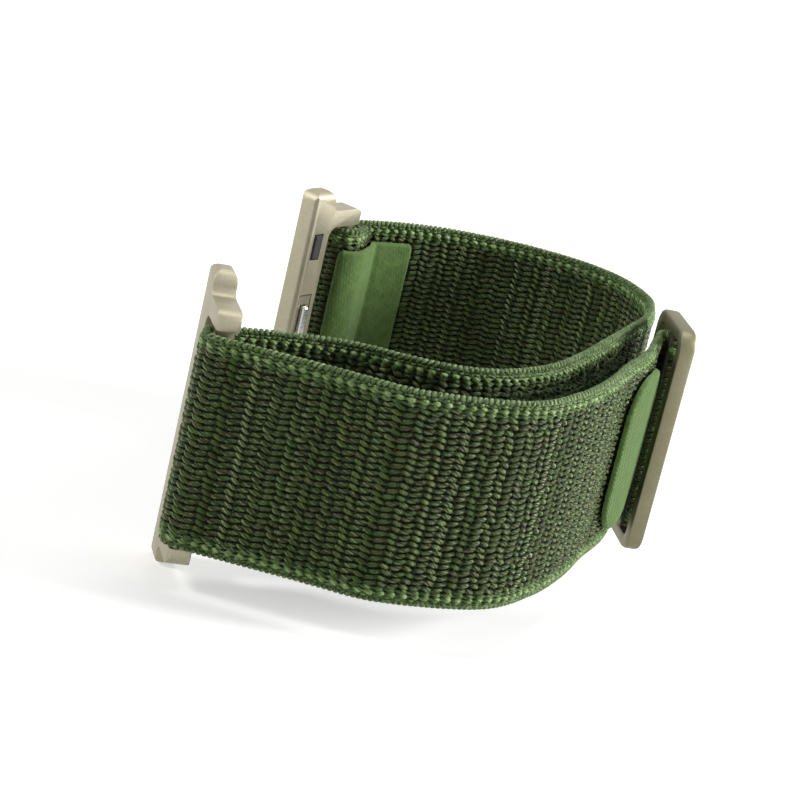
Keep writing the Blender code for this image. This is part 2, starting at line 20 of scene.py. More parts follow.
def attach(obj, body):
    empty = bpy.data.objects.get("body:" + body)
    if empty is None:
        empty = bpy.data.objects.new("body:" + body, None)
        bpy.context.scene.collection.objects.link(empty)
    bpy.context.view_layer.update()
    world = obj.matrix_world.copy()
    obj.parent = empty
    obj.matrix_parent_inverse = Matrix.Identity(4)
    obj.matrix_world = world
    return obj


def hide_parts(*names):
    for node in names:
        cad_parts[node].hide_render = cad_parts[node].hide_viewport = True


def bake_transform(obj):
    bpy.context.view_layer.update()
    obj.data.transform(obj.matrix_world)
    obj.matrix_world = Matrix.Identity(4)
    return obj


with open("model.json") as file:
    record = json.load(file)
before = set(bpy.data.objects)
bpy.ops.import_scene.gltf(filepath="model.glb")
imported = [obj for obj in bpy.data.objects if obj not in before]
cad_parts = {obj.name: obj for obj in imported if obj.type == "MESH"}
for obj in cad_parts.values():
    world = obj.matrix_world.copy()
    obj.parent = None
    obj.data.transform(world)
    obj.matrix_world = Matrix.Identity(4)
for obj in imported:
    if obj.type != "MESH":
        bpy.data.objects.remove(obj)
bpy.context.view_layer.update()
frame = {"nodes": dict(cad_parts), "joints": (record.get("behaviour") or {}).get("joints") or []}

JOINTS = {joint["name"]: joint for joint in frame["joints"]}
bpy.ops.object.select_all(action="DESELECT")

# %% [markdown]
# ## Sizes
# The sizes are the CAD model's own, in metres. The bars that the strip is folded round are the axes of three
# joints, so their places are read from the frame and not typed again.

# %% Sizes of the strip and places of its bars
MM = 0.001
BAND_WIDTH = 24.0 * MM
BAND_THICKNESS = 1.3 * MM
SEAT_GAP = 0.3 * MM          # between the strip and what it lies on
BAR_RADIUS = 1.0 * MM        # of a connector's bar
BAR_REACH = 6.5 * MM         # from the rail's centre to the bar's
CONNECTOR_LEAN = 25.0        # degrees
CENTRE_BAR_RADIUS = 0.9 * MM
LOOP_DEPTH = 42.0 * MM
BELLY = 6.0 * MM
BUCKLE_STATION = 66.5 * MM
HINGE_DISTANCE = 3.0 * MM
FLAP_LENGTH = 3.6 * MM
TAIL_WRAP = 280.0            # degrees
HOOK_THICKNESS = 1.2 * MM
LOOP_THICKNESS = 1.2 * MM
CLOSURE_GAP = 0.5 * MM


def joint_place(name):
    return np.array(JOINTS[name]["pos_m"])


NEAR_BAR = joint_place("near_connector_swing")[:2]
FAR_BAR = joint_place("far_connector_swing")[:2]
BUCKLE_BAR = joint_place("buckle_swivel")[:2]
MIDDLE = joint_place("tail_peel")[2]
print("bars in mm", *(np.round(bar * 1000, 2) for bar in (NEAR_BAR, FAR_BAR, BUCKLE_BAR)))

# %% [markdown]
# ## The strip's route
# Seen from above, the strip is one line: from its folded end round the far bar, round the wrist, round the near
# bar and back along itself to the buckle. The loop has no simple rule, because a soft strap lies as it likes, so
# its points are listed and a smooth curve goes through them. The folds are plain arcs.

# %% Points of the route
# The wrist's as shares of the loop's depth and half gap; the tail's as shares of its length and of its bow.
WRIST_ROUTE_SHARES = (
    (0.202, -0.773), (0.350, -0.665), (0.488, -0.640), (0.607, -0.598), (0.705, -0.498),
    (0.783, -0.342), (0.838, -0.167), (0.883, 0.086), (0.921, 0.372), (0.957, 0.651),
    (0.983, 0.855), (0.990, 1.041), (0.960, 1.242), (0.857, 1.440), (0.702, 1.532),
    (0.500, 1.524), (0.310, 1.428), (0.167, 1.271),
)
TAIL_ROUTE_SHARES = (
    (0.16, 0.78), (0.26, 0.94), (0.35, 0.94), (0.45, 0.72), (0.54, 0.42), (0.64, 0.17),
    (0.74, 0.03), (0.86, 0.0),
)
ROUTE_STEP = 0.2 * MM
print("points chosen by hand:", len(WRIST_ROUTE_SHARES), "round the wrist and", len(TAIL_ROUTE_SHARES), "on the tail")


# %% Plan geometry
def compass(degrees):
    return np.array([math.cos(math.radians(degrees)), math.sin(math.radians(degrees))])


def unit(vectors):
    return vectors / np.linalg.norm(vectors, axis=-1, keepdims=True)


def to_right(headings):
    """The plan direction to the right of each heading."""
    return np.stack([headings[..., 1], -headings[..., 0]], axis=-1)


def straight(start, end):
    steps = max(2, round(np.linalg.norm(end - start) / ROUTE_STEP))
    return start + (end - start) * np.linspace(0, 1, steps + 1)[:, None]


def arc(centre, radius, start, end):
    """Points of an arc, angles in degrees."""
    steps = max(4, round(abs(math.radians(end - start)) * radius / ROUTE_STEP))
    turn = np.radians(np.linspace(start, end, steps + 1))
    return centre + radius * np.stack([np.cos(turn), np.sin(turn)], axis=-1)


def touch_angle(centre, radius, point, side):
    """The angle at which a straight strip from the point first touches a bar's circle."""
    away = point - centre
    return math.degrees(math.atan2(away[1], away[0]) + side * math.acos(radius / np.linalg.norm(away)))


def smooth_through(points):
    """A smooth curve through given points, straight at both ends."""
    points = [np.array(p) for p in points]
    chain = [2 * points[0] - points[1]] + points + [2 * points[-1] - points[-2]]
    curve = []
    for before, start, end, after in zip(chain, chain[1:], chain[2:], chain[3:]):
        count = max(1, round(np.linalg.norm(end - start) / ROUTE_STEP))
        t = (np.arange(count) / count)[:, None]
        curve.append(0.5 * (2 * start + (end - before) * t
                            + (2 * before - 5 * start + 4 * end - after) * t ** 2
                            + (3 * start - before - 3 * end + after) * t ** 3))
    return np.concatenate(curve + [points[-1][None]])


print("an arc of 180 degrees round a connector's bar has",
      len(arc(NEAR_BAR, BAR_RADIUS + SEAT_GAP, 0, 180)), "points")


# %% A route that can be asked for its points
class Route:
    """A plan line that can be asked for its point and heading at any distance."""

    def __init__(self, points):
        keep = np.r_[True, np.linalg.norm(np.diff(points, axis=0), axis=1) > 1e-7]
        self.points = points[keep]
        steps = np.linalg.norm(np.diff(self.points, axis=0), axis=1)
        self.distance = np.r_[0.0, np.cumsum(steps)]
        self.headings = unit(np.gradient(self.points, axis=0))
        self.length = self.distance[-1]

    def at(self, distance):
        point = np.stack([np.interp(distance, self.distance, self.points[:, i]) for i in (0, 1)], axis=-1)
        heading = np.stack([np.interp(distance, self.distance, self.headings[:, i]) for i in (0, 1)], axis=-1)
        return point, unit(heading)

    def nearest(self, place):
        return self.distance[np.argmin(np.linalg.norm(self.points - place, axis=1))]


print("a straight route of 10 mm measures", Route(straight(np.zeros(2), np.array([10 * MM, 0]))).length / MM, "mm")

# %% The wrist run and the tail
fold_radius = BAR_RADIUS + SEAT_GAP + BAND_THICKNESS / 2
end_radius = CENTRE_BAR_RADIUS + SEAT_GAP + BAND_THICKNESS / 2
rail_plane = NEAR_BAR[0] - BAR_REACH * math.sin(math.radians(CONNECTOR_LEAN))
half_gap = (FAR_BAR[1] - NEAR_BAR[1]) / 2
loop_middle = np.array([rail_plane, (FAR_BAR[1] + NEAR_BAR[1]) / 2])
wrist_points = [loop_middle + np.array([x * LOOP_DEPTH, y * half_gap]) for x, y in WRIST_ROUTE_SHARES]
near_touch = touch_angle(NEAR_BAR, fold_radius, wrist_points[0], 1)
far_touch = touch_angle(FAR_BAR, fold_radius, wrist_points[-1], 1)
wrist_points = ([NEAR_BAR + fold_radius * compass(near_touch)] + wrist_points
                + [FAR_BAR + fold_radius * compass(far_touch)])
INNER = Route(smooth_through(wrist_points))

closure_stack = BAND_THICKNESS + HOOK_THICKNESS + LOOP_THICKNESS + 2 * SEAT_GAP + CLOSURE_GAP
tail_points = []
for along_share, bow_share in TAIL_ROUTE_SHARES:
    point, heading = INNER.at(along_share * BUCKLE_STATION)
    tail_points.append(point + to_right(heading) * (closure_stack + bow_share * BELLY))
tail_leave = touch_angle(NEAR_BAR, fold_radius, tail_points[0], -1) % 360.0
reach_bar = touch_angle(BUCKLE_BAR, end_radius, tail_points[-1], -1)
tail_points = ([NEAR_BAR + fold_radius * compass(tail_leave)] + tail_points
               + [BUCKLE_BAR + end_radius * compass(reach_bar)])
TAIL = Route(smooth_through(tail_points))
print("round the wrist", round(INNER.length / MM, 1), "mm; tail", round(TAIL.length / MM, 1), "mm")

# %% The whole strip as one route
back_run = Route(INNER.points[::-1])
past_bar, heading = back_run.at(FLAP_LENGTH)
flap_tip = past_bar + to_right(heading) * (BAND_THICKNESS + SEAT_GAP)
flap_touch = touch_angle(FAR_BAR, fold_radius, flap_tip, -1) + 360.0
flap_start = FAR_BAR + fold_radius * compass(flap_touch)
FLAP = Route(straight(flap_tip, flap_start))

STRIP = Route(np.concatenate([
    FLAP.points[:-1],
    arc(FAR_BAR, fold_radius, flap_touch, far_touch)[:-1],
    back_run.points[:-1],
    arc(NEAR_BAR, fold_radius, near_touch, tail_leave)[:-1],
    TAIL.points[:-1],
    arc(BUCKLE_BAR, end_radius, reach_bar, reach_bar - TAIL_WRAP),
]))
tail_starts = STRIP.nearest(TAIL.points[0])
bend_place = tail_starts + HINGE_DISTANCE
near_fold_middle = (STRIP.nearest(INNER.points[0]) + tail_starts) / 2
print("strip", round(STRIP.length * 1000, 1), "mm long; tail from", round(tail_starts * 1000, 1), "mm")


def lay(along, across, out, route=None):
    """Cloth sizes (along, across, out of the strip's middle) turned into places on the strap."""
    point, heading = (route or STRIP).at(along)
    side = to_right(heading)
    return np.stack([point[..., 0] + side[..., 0] * out, point[..., 1] + side[..., 1] * out,
                     MIDDLE + across], axis=-1)


# %% [markdown]
# ## Colours and nodes
# Colours are written as sRGB hex values, as a colour picker shows them, and one function turns them to the
# linear values that shaders use. One more function adds a node with its settings and links, so that each
# material below reads as a short list.

# %% Colour and node helpers
def linear(hex_colour):
    """An sRGB hex colour as linear red, green, blue and alpha."""
    parts = [int(hex_colour[i:i + 2], 16) / 255 for i in (1, 3, 5)]
    return tuple(p / 12.92 if p <= 0.04045 else ((p + 0.055) / 1.055) ** 2.4 for p in parts) + (1.0,)


def add(tree, kind, inputs=None, **settings):
    """Adds a node; an input given as a socket is linked, any other value is set."""
    node = tree.nodes.new(kind)
    for name, value in settings.items():
        setattr(node, name, value)
    for name, value in (inputs or {}).items():
        if isinstance(value, bpy.types.NodeSocket):
            tree.links.new(value, node.inputs[name])
        else:
            node.inputs[name].default_value = value
    return node


def finish_named(name):
    """A new material; returns it with its node tree and its shader node."""
    made = bpy.data.materials.new(name)
    made.use_nodes = True
    return made, made.node_tree, made.node_tree.nodes["Principled BSDF"]


# Settings of a mix node that blends two colours, and of one that multiplies them. Its inputs 0, 6 and 7 are the
# factor and the two colours, and its output 2 is the result.
BLENDED = {"data_type": "RGBA", "blend_type": "MIX"}
MULTIPLIED = {"data_type": "RGBA", "blend_type": "MULTIPLY"}
NYLON_IOR = 1.53
print("middle grey #808080 is", round(linear("#808080")[0], 3), "as a linear value")

# %% [markdown]
# ## Dyed nylon yarn
# The strip is woven from textured multifilament nylon: two plies of hair-thin filaments twisted together and
# dyed dark green or olive, and a brighter green at the selvages. It could be one green with a bump map, but the eye
# reads the strap by its separate stitches, so the yarns are real here, and the material only adds what lies in
# one yarn: the groove between its plies, with painted shade in it, filament streaks that wind round it, with
# painted highlights on their tops, small differences of dye from stitch to stitch, painted highlights on the
# slanted stitches and the selvage's crests, painted shade on the cross yarn between the faces, and the soft
# gloss of nylon. IOR 1.53 and roughness 0.4 to 0.6 are typical of textured nylon.
# Real filaments are 0.02 mm and would not show, so the streaks are drawn 0.1 mm wide.

# %% Colour of a stitch
YARN_GREEN = linear("#32541d")
YARN_OLIVE = linear("#3f441b")
# Painted highlight: slanted stitches are the same yarn as the flat ones, drawn lighter and yellower where they catch
# the light.
YARN_SLANTED_HIGHLIGHT = linear("#5b6e30")
YARN_SELVAGE = linear("#6e8a52")
SLANT_TINTS = (0.4, 0.8)     # from the first tint to the second a stitch takes on the slanted stitches' colour
SLANT_SHARE = 0.5            # how far it does
# The tint is random tone plus a painted highlight on slanted stitches and bead crests and painted shade on the cross
# yarn.
TINT_SHADES = (0.7, 1.35)    # brightness at tint 0 and at tint 1


def stitch_colour(tree):
    """The colour of a stitch, from an attribute with its share of olive, its share of selvage green and its tint; the
    tint holds random tone and painted highlight and shade.
    """
    dye_and_painted_light_node = add(tree, "ShaderNodeAttribute", attribute_name="Dye")
    dye_and_painted_light = add(tree, "ShaderNodeSeparateXYZ", {0: dye_and_painted_light_node.outputs["Vector"]})
    body = add(tree, "ShaderNodeMix", {0: dye_and_painted_light.outputs["X"], 6: YARN_GREEN, 7: YARN_OLIVE}, **BLENDED)
    slant = add(tree, "ShaderNodeMapRange", {"Value": dye_and_painted_light.outputs["Z"], "From Min": SLANT_TINTS[0],
                                             "From Max": SLANT_TINTS[1], "To Max": SLANT_SHARE})
    body = add(tree, "ShaderNodeMix", {0: slant.outputs["Result"], 6: body.outputs[2], 7: YARN_SLANTED_HIGHLIGHT}, **BLENDED)
    body = add(tree, "ShaderNodeMix", {0: dye_and_painted_light.outputs["Y"], 6: body.outputs[2], 7: YARN_SELVAGE}, **BLENDED)
    shade = add(tree, "ShaderNodeMapRange", {"Value": dye_and_painted_light.outputs["Z"], "To Min": TINT_SHADES[0],
                                             "To Max": TINT_SHADES[1]}, clamp=False)
    return add(tree, "ShaderNodeMix", {0: 1.0, 6: body.outputs[2], 7: shade.outputs["Result"]}, **MULTIPLIED)


print("the brightest dye is", round(TINT_SHADES[1] / TINT_SHADES[0], 1), "times as bright as the darkest")

# %% Plies and filaments
FILAMENT_WIDTH = 0.10        # mm, drawn coarser than the real 0.02 mm
FILAMENT_CHANGES = 0.8       # of a streak in a mm of its length
PLY_TWIST = -2.3             # mm of yarn for one full turn of its plies, to the left
YARN_RADIUS = 0.27           # mm
STREAK_EDGES = (0.38, 0.62)  # of the noise, narrow so that filaments stand apart
STREAK_HEIGHT = 1.1          # beside the 1.0 of a ply's roundness
PLY_GROOVE = 0.45            # half width of the groove between the plies, in yarn radii


def filament_height(tree):
    """How high a yarn's surface is: filaments on two round plies that wind round it."""
    # The attribute holds mm along the yarn and the place round it; turning it with the length winds the plies.
    yarn = add(tree, "ShaderNodeAttribute", attribute_name="Yarn")
    length = add(tree, "ShaderNodeSeparateXYZ", {0: yarn.outputs["Vector"]})
    twist = add(tree, "ShaderNodeMath", {0: length.outputs["X"], 1: 2 * math.pi / PLY_TWIST}, operation="MULTIPLY")
    wound = add(tree, "ShaderNodeVectorRotate", {"Vector": yarn.outputs["Vector"], "Angle": twist.outputs[0]},
                rotation_type="X_AXIS")
    across_filament = 0.5 * YARN_RADIUS / FILAMENT_WIDTH
    streaks = add(tree, "ShaderNodeMapping", {"Vector": wound.outputs["Vector"],
                                              "Scale": (FILAMENT_CHANGES, across_filament, across_filament)})
    grain = add(tree, "ShaderNodeTexNoise", {"Vector": streaks.outputs["Vector"], "Scale": 1.0, "Detail": 3.0,
                                             "Roughness": 0.7})
    streak = add(tree, "ShaderNodeMapRange", {"Value": grain.outputs["Fac"], "From Min": STREAK_EDGES[0],
                                              "From Max": STREAK_EDGES[1]})
    side = add(tree, "ShaderNodeSeparateXYZ", {0: wound.outputs["Vector"]})
    ply = add(tree, "ShaderNodeMath", {0: side.outputs["Y"]}, operation="ABSOLUTE")
    groove = add(tree, "ShaderNodeMapRange", {"Value": ply.outputs[0], "From Max": PLY_GROOVE, "To Min": 0.0,
                                              "To Max": 1.0}, interpolation_type="SMOOTHSTEP")
    return add(tree, "ShaderNodeMath", {0: streak.outputs["Result"], 1: STREAK_HEIGHT,
                                        2: groove.outputs["Result"]}, operation="MULTIPLY_ADD")


print("streaks round a yarn", round(2 * math.pi * YARN_RADIUS / FILAMENT_WIDTH))

# %% Yarn material
# Painted highlight: the tops of the filaments are mixed towards this pale glint colour.
YARN_GLINT_HIGHLIGHT = linear("#bfcb9f")
NYLON_GLEAM = linear("#eef2dc")
RELIEF_PAINTED_LIGHT = (0.15, 1.8)  # brightness deep in a groove and on top of a filament
GLINT_FROM = 1.5              # height from which a filament catches the light
GLINT_SHARE = 0.55
STREAK_DEPTH = 0.07 * MM


def yarn_finish():
    """Textured yarn: two round plies with painted shade in the groove between them and painted highlights on fine
    filaments.
    """
    made, tree, shader = finish_named("dyed_nylon_yarn")
    body = stitch_colour(tree)
    height = filament_height(tree)
    highest = STREAK_HEIGHT + 1.0
    # Painted shade deep in the ply groove and painted highlight on the filament tops, by the height of the relief.
    light = add(tree, "ShaderNodeMapRange", {"Value": height.outputs[0], "From Min": 0.0, "From Max": highest,
                                             "To Min": RELIEF_PAINTED_LIGHT[0], "To Max": RELIEF_PAINTED_LIGHT[1]})
    body = add(tree, "ShaderNodeMix", {0: 1.0, 6: body.outputs[2], 7: light.outputs["Result"]}, **MULTIPLIED)
    crest = add(tree, "ShaderNodeMapRange", {"Value": height.outputs[0], "From Min": GLINT_FROM,
                                             "From Max": highest, "To Max": GLINT_SHARE})
    body = add(tree, "ShaderNodeMix", {0: crest.outputs["Result"], 6: body.outputs[2], 7: YARN_GLINT_HIGHLIGHT}, **BLENDED)
    tree.links.new(body.outputs[2], shader.inputs["Base Color"])
    bump = add(tree, "ShaderNodeBump", {"Height": height.outputs[0], "Strength": 1.0, "Distance": STREAK_DEPTH})
    tree.links.new(bump.outputs["Normal"], shader.inputs["Normal"])
    shader.inputs["Roughness"].default_value = 0.42
    shader.inputs["IOR"].default_value = NYLON_IOR
    shader.inputs["Specular IOR Level"].default_value = 0.24
    shader.inputs["Specular Tint"].default_value = NYLON_GLEAM
    shader.inputs["Sheen Weight"].default_value = 0.06
    shader.inputs["Sheen Tint"].default_value = NYLON_GLEAM
    shader.inputs["Sheen Roughness"].default_value = 0.5
    return made


YARN = yarn_finish()
print("made", YARN.name)

# %% [markdown]
# ## Tubes for yarns
# A yarn is a tube along a wavy line. Curve objects could make tubes, but not with an oval section that is
# squeezed where two yarns cross, and there are thousands of bends, so the rings of all yarns of one kind are
# worked out together and made one mesh. Each point also keeps its distance along the yarn, for the filament
# streaks, and its dye, with painted highlight and shade in the tint.

# %% Rings round a line
ALONG, ACROSS, OUT = np.eye(3)


def tube_rings(lines, across, through, sides, level):
    """Rings round cloth lines of shape (yarns, points, 3), with half sizes along the level direction and over it."""
    tangent = unit(np.gradient(lines, axis=1))
    flat = unit(level - tangent * (tangent @ level)[..., None])
    rise = np.cross(tangent, flat)
    turn = 2 * np.pi * (np.arange(sides) + 0.5) / sides
    rings = (lines[:, :, None] + flat[:, :, None] * (across[..., None] * np.cos(turn))[..., None]
             + rise[:, :, None] * (through[..., None] * np.sin(turn))[..., None])
    return rings, turn


print("cloth directions: along", ALONG, "across", ACROSS)


# %% Tube meshes
def tube_mesh(name, places, facts):
    """One mesh of closed tubes from ring places of shape (yarns, rings, sides, 3)."""
    yarns, rings, sides = places.shape[:3]
    index = np.arange(yarns * rings * sides).reshape(yarns, rings, sides)
    here, along = index[:, :-1], index[:, 1:]
    quads = np.stack([here, np.roll(here, -1, axis=2), np.roll(along, -1, axis=2), along], axis=-1)
    quads = quads.reshape(-1, 4)
    caps = np.concatenate([index[:, 0, ::-1], index[:, -1]])
    mesh = bpy.data.meshes.new(name)
    mesh.vertices.add(index.size)
    mesh.vertices.foreach_set("co", places.astype(np.float32).ravel())
    corners = np.concatenate([quads.ravel(), caps.ravel()])
    sizes = np.concatenate([np.full(len(quads), 4), np.full(len(caps), sides)])
    mesh.loops.add(len(corners))
    mesh.loops.foreach_set("vertex_index", corners.astype(np.int32))
    mesh.polygons.add(len(sizes))
    mesh.polygons.foreach_set("loop_start", np.r_[0, np.cumsum(sizes)[:-1]].astype(np.int32))
    mesh.polygons.foreach_set("use_smooth", np.r_[np.ones(len(quads), bool), np.zeros(len(caps), bool)])
    mesh.update(calc_edges=True)
    mesh.validate()
    for fact, values in facts.items():
        mesh.attributes.new(fact, "FLOAT_VECTOR", "POINT").data.foreach_set(
            "vector", np.ascontiguousarray(values, np.float32).reshape(-1))
    piece = bpy.data.objects.new(name, mesh)
    bpy.context.scene.collection.objects.link(piece)
    return piece


def facing_out(piece):
    """Turns the faces outwards if the mesh is inside out, by the sign of its volume."""
    bm = bmesh.new()
    bm.from_mesh(piece.data)
    if bm.calc_volume(signed=True) < 0:
        bmesh.ops.reverse_faces(bm, faces=bm.faces)
        bm.to_mesh(piece.data)
    bm.free()
    return piece


def triangles(piece):
    return sum(len(face.vertices) - 2 for face in piece.data.polygons)


print("tube meshes ready")


# %% Yarns laid on the strap
def yarn_piece(name, lines, across, through, sides, level, dye_and_painted_light, finish, route=None):
    """Tubes drawn in cloth sizes, laid along the strap, with their material."""
    rings, turn = tube_rings(lines, across, through, sides, level)
    places = lay(rings[..., 0], rings[..., 1], rings[..., 2], route)
    steps = np.linalg.norm(np.diff(lines, axis=1), axis=2)
    run = np.concatenate([np.zeros((len(lines), 1)), np.cumsum(steps, axis=1)], axis=1) / MM
    round_it = np.broadcast_to(turn, rings.shape[:3])
    yarn = np.stack([np.broadcast_to(run[..., None], rings.shape[:3]), np.cos(round_it), np.sin(round_it)], -1)
    dye_and_painted_light_node = np.broadcast_to(dye_and_painted_light[:, :, None], rings.shape)
    piece = facing_out(tube_mesh(name, places, {"Yarn": yarn, "Dye": dye_and_painted_light_node}))
    piece.data.materials.append(finish)
    return piece


print("ready to lay yarns on a route of", round(STRIP.length / MM, 1), "mm")

# %% [markdown]
# ## The weave
# The strip is a double cloth: each face has its own warps, the lengthwise yarns, 0.7 mm apart. Seen close, a warp
# repeats every 2.5 mm: a long flat stitch that climbs a little, a dip under the cross yarn, a short plump stitch
# that slants down, and a dip again. Neighbouring rows keep step, so the stitches stack in columns, and the rows
# are green and olive by turns. The selvages have finer, brighter stitches, and one row of them stands out like
# beads. The weave could be displaced from a flat sheet, but then the dark holes between stitches would be
# shallow dents. Here every warp is a real tube, and a table per kind of row says how it moves in a repeat.

# %% Stitches of the body
REPEAT = 2.5 * MM
RINGS = 10                   # of a warp in a repeat
FACE_SHIFT = REPEAT / 5      # the inner face's stitches lie this much further on

# Share of the repeat, then in mm: across the strip, out of its middle, half width and half height of the yarn.
BODY_STITCHES = np.array([
    (0.000, -0.11, 0.12, 0.16, 0.12),
    (0.040, -0.12, 0.27, 0.21, 0.16),
    (0.140, -0.08, 0.38, 0.27, 0.18),
    (0.310, 0.01, 0.42, 0.29, 0.18),
    (0.470, 0.11, 0.31, 0.22, 0.17),
    (0.535, 0.13, 0.14, 0.17, 0.13),
    (0.580, 0.15, 0.33, 0.21, 0.16),
    (0.680, 0.10, 0.47, 0.27, 0.19),
    (0.800, -0.02, 0.44, 0.27, 0.19),
    (0.945, -0.15, 0.24, 0.20, 0.15),
])
print("a repeat of", REPEAT / MM, "mm has", len(BODY_STITCHES), "rings; widest", 2 * BODY_STITCHES[:, 3].max(), "mm")

# %% Stitches of the selvages
BEAD_STITCHES = np.array([
    (0.000, -0.04, 0.22, 0.18, 0.15),
    (0.110, 0.01, 0.35, 0.24, 0.19),
    (0.190, 0.04, 0.49, 0.31, 0.22),
    (0.300, 0.02, 0.46, 0.30, 0.21),
    (0.375, -0.04, 0.28, 0.21, 0.17),
    (0.500, -0.04, 0.22, 0.18, 0.15),
    (0.610, 0.01, 0.35, 0.24, 0.19),
    (0.690, 0.04, 0.49, 0.31, 0.22),
    (0.800, 0.02, 0.46, 0.30, 0.21),
    (0.875, -0.04, 0.28, 0.21, 0.17),
])
FINE_STITCHES = np.array([
    (0.000, -0.05, 0.10, 0.15, 0.13),
    (0.090, 0.02, 0.34, 0.19, 0.17),
    (0.200, 0.07, 0.36, 0.19, 0.17),
    (0.250, -0.05, 0.14, 0.15, 0.13),
    (0.340, 0.03, 0.36, 0.19, 0.17),
    (0.500, -0.05, 0.10, 0.15, 0.13),
    (0.590, 0.02, 0.34, 0.19, 0.17),
    (0.700, 0.07, 0.36, 0.19, 0.17),
    (0.800, -0.05, 0.14, 0.15, 0.13),
    (0.890, 0.03, 0.36, 0.19, 0.17),
])
EDGE_STITCHES = np.array([
    (0.000, 0.00, 0.28, 0.17, 0.15),
    (0.115, 0.05, 0.10, 0.13, 0.12),
    (0.210, -0.01, 0.28, 0.17, 0.15),
    (0.320, 0.04, 0.26, 0.16, 0.15),
    (0.375, 0.02, 0.10, 0.13, 0.12),
    (0.480, -0.02, 0.28, 0.17, 0.15),
    (0.640, 0.05, 0.10, 0.13, 0.12),
    (0.730, -0.01, 0.27, 0.17, 0.15),
    (0.800, 0.02, 0.28, 0.17, 0.15),
    (0.885, 0.05, 0.10, 0.13, 0.12),
])
print("beads rise to", round((BEAD_STITCHES[:, 2] + BEAD_STITCHES[:, 4]).max(), 2), "mm, the body's stitches to",
      round((BODY_STITCHES[:, 2] + BODY_STITCHES[:, 4]).max(), 2), "mm")

# %% Rows and the table that each follows
ROW_PITCH = 0.70 * MM
BODY_ROWS = 29
SELVAGE_PLACES = (0.52 * MM, 1.00 * MM, 1.40 * MM, 1.73 * MM)    # beyond the outermost row of the body
body_half = ROW_PITCH * (BODY_ROWS - 1) / 2
selvage_rows = body_half + np.array(SELVAGE_PLACES)
ROWS = np.concatenate([-selvage_rows[::-1], np.linspace(-body_half, body_half, BODY_ROWS), selvage_rows])
# Of each row: the table it follows, how bright its selvage green is, and the share of its height that it keeps.
under_bead, bead, fine, edge = ((BEAD_STITCHES, 0.4, 0.9), (BEAD_STITCHES, 0.9, 1.0), (FINE_STITCHES, 0.8, 0.97),
                                (EDGE_STITCHES, 0.85, 1.0))
ROW_KINDS = ([edge, fine, bead, under_bead] + [(BODY_STITCHES, 0.0, 1.0)] * BODY_ROWS
             + [under_bead, bead, fine, edge])
TABLES = np.stack([table for table, _, _ in ROW_KINDS])
SELVAGE = np.array([bright for _, bright, _ in ROW_KINDS])[:, None]
KEEP = np.array([keep for _, _, keep in ROW_KINDS])[:, None]
near_cut = REPEAT * round(near_fold_middle / REPEAT)
middle_cut = REPEAT * round(near_fold_middle / REPEAT / 2)
random = np.random.default_rng(24)
VARIETY = random.random((2, len(ROWS), math.ceil(STRIP.length / REPEAT) * 2 + 6, 6))
print("rows", len(ROWS), "stitches in a row", VARIETY.shape[2])

# %% Warps
WARP_SIDES = 6
STITCH_WAVES = ((6.3, 1.7), (1.9, 2.9))     # length in repeats for a turn of one radian, and radians from row to row
WAVE_HEIGHT = 0.12 * MM      # the waves and the random part keep the stitches out of perfect columns
RANDOM_SHIFT = 0.20 * MM
RANDOM_SWAY = 0.05 * MM      # of a stitch, across and out of the strip
SWELL_LEAST, SWELL_SPREAD = 0.93, 0.14
OLIVE_BY_ROW, OLIVE_AT_RANDOM = 0.35, 0.65
# Tint at random is the yarn's own tone; the slanted stitches get a painted highlight, and the selvage's bead crests a
# stronger one.
TINT_AT_RANDOM, TINT_SLANTED_HIGHLIGHT, TINT_CREST_HIGHLIGHT = 0.6, 0.2, 1.0
CREST_RINGS = (2, 3, 7, 8)   # the highest rings of the selvage's stitches
CREST_BRIGHT = 0.88          # rows with less selvage green than this have no crests


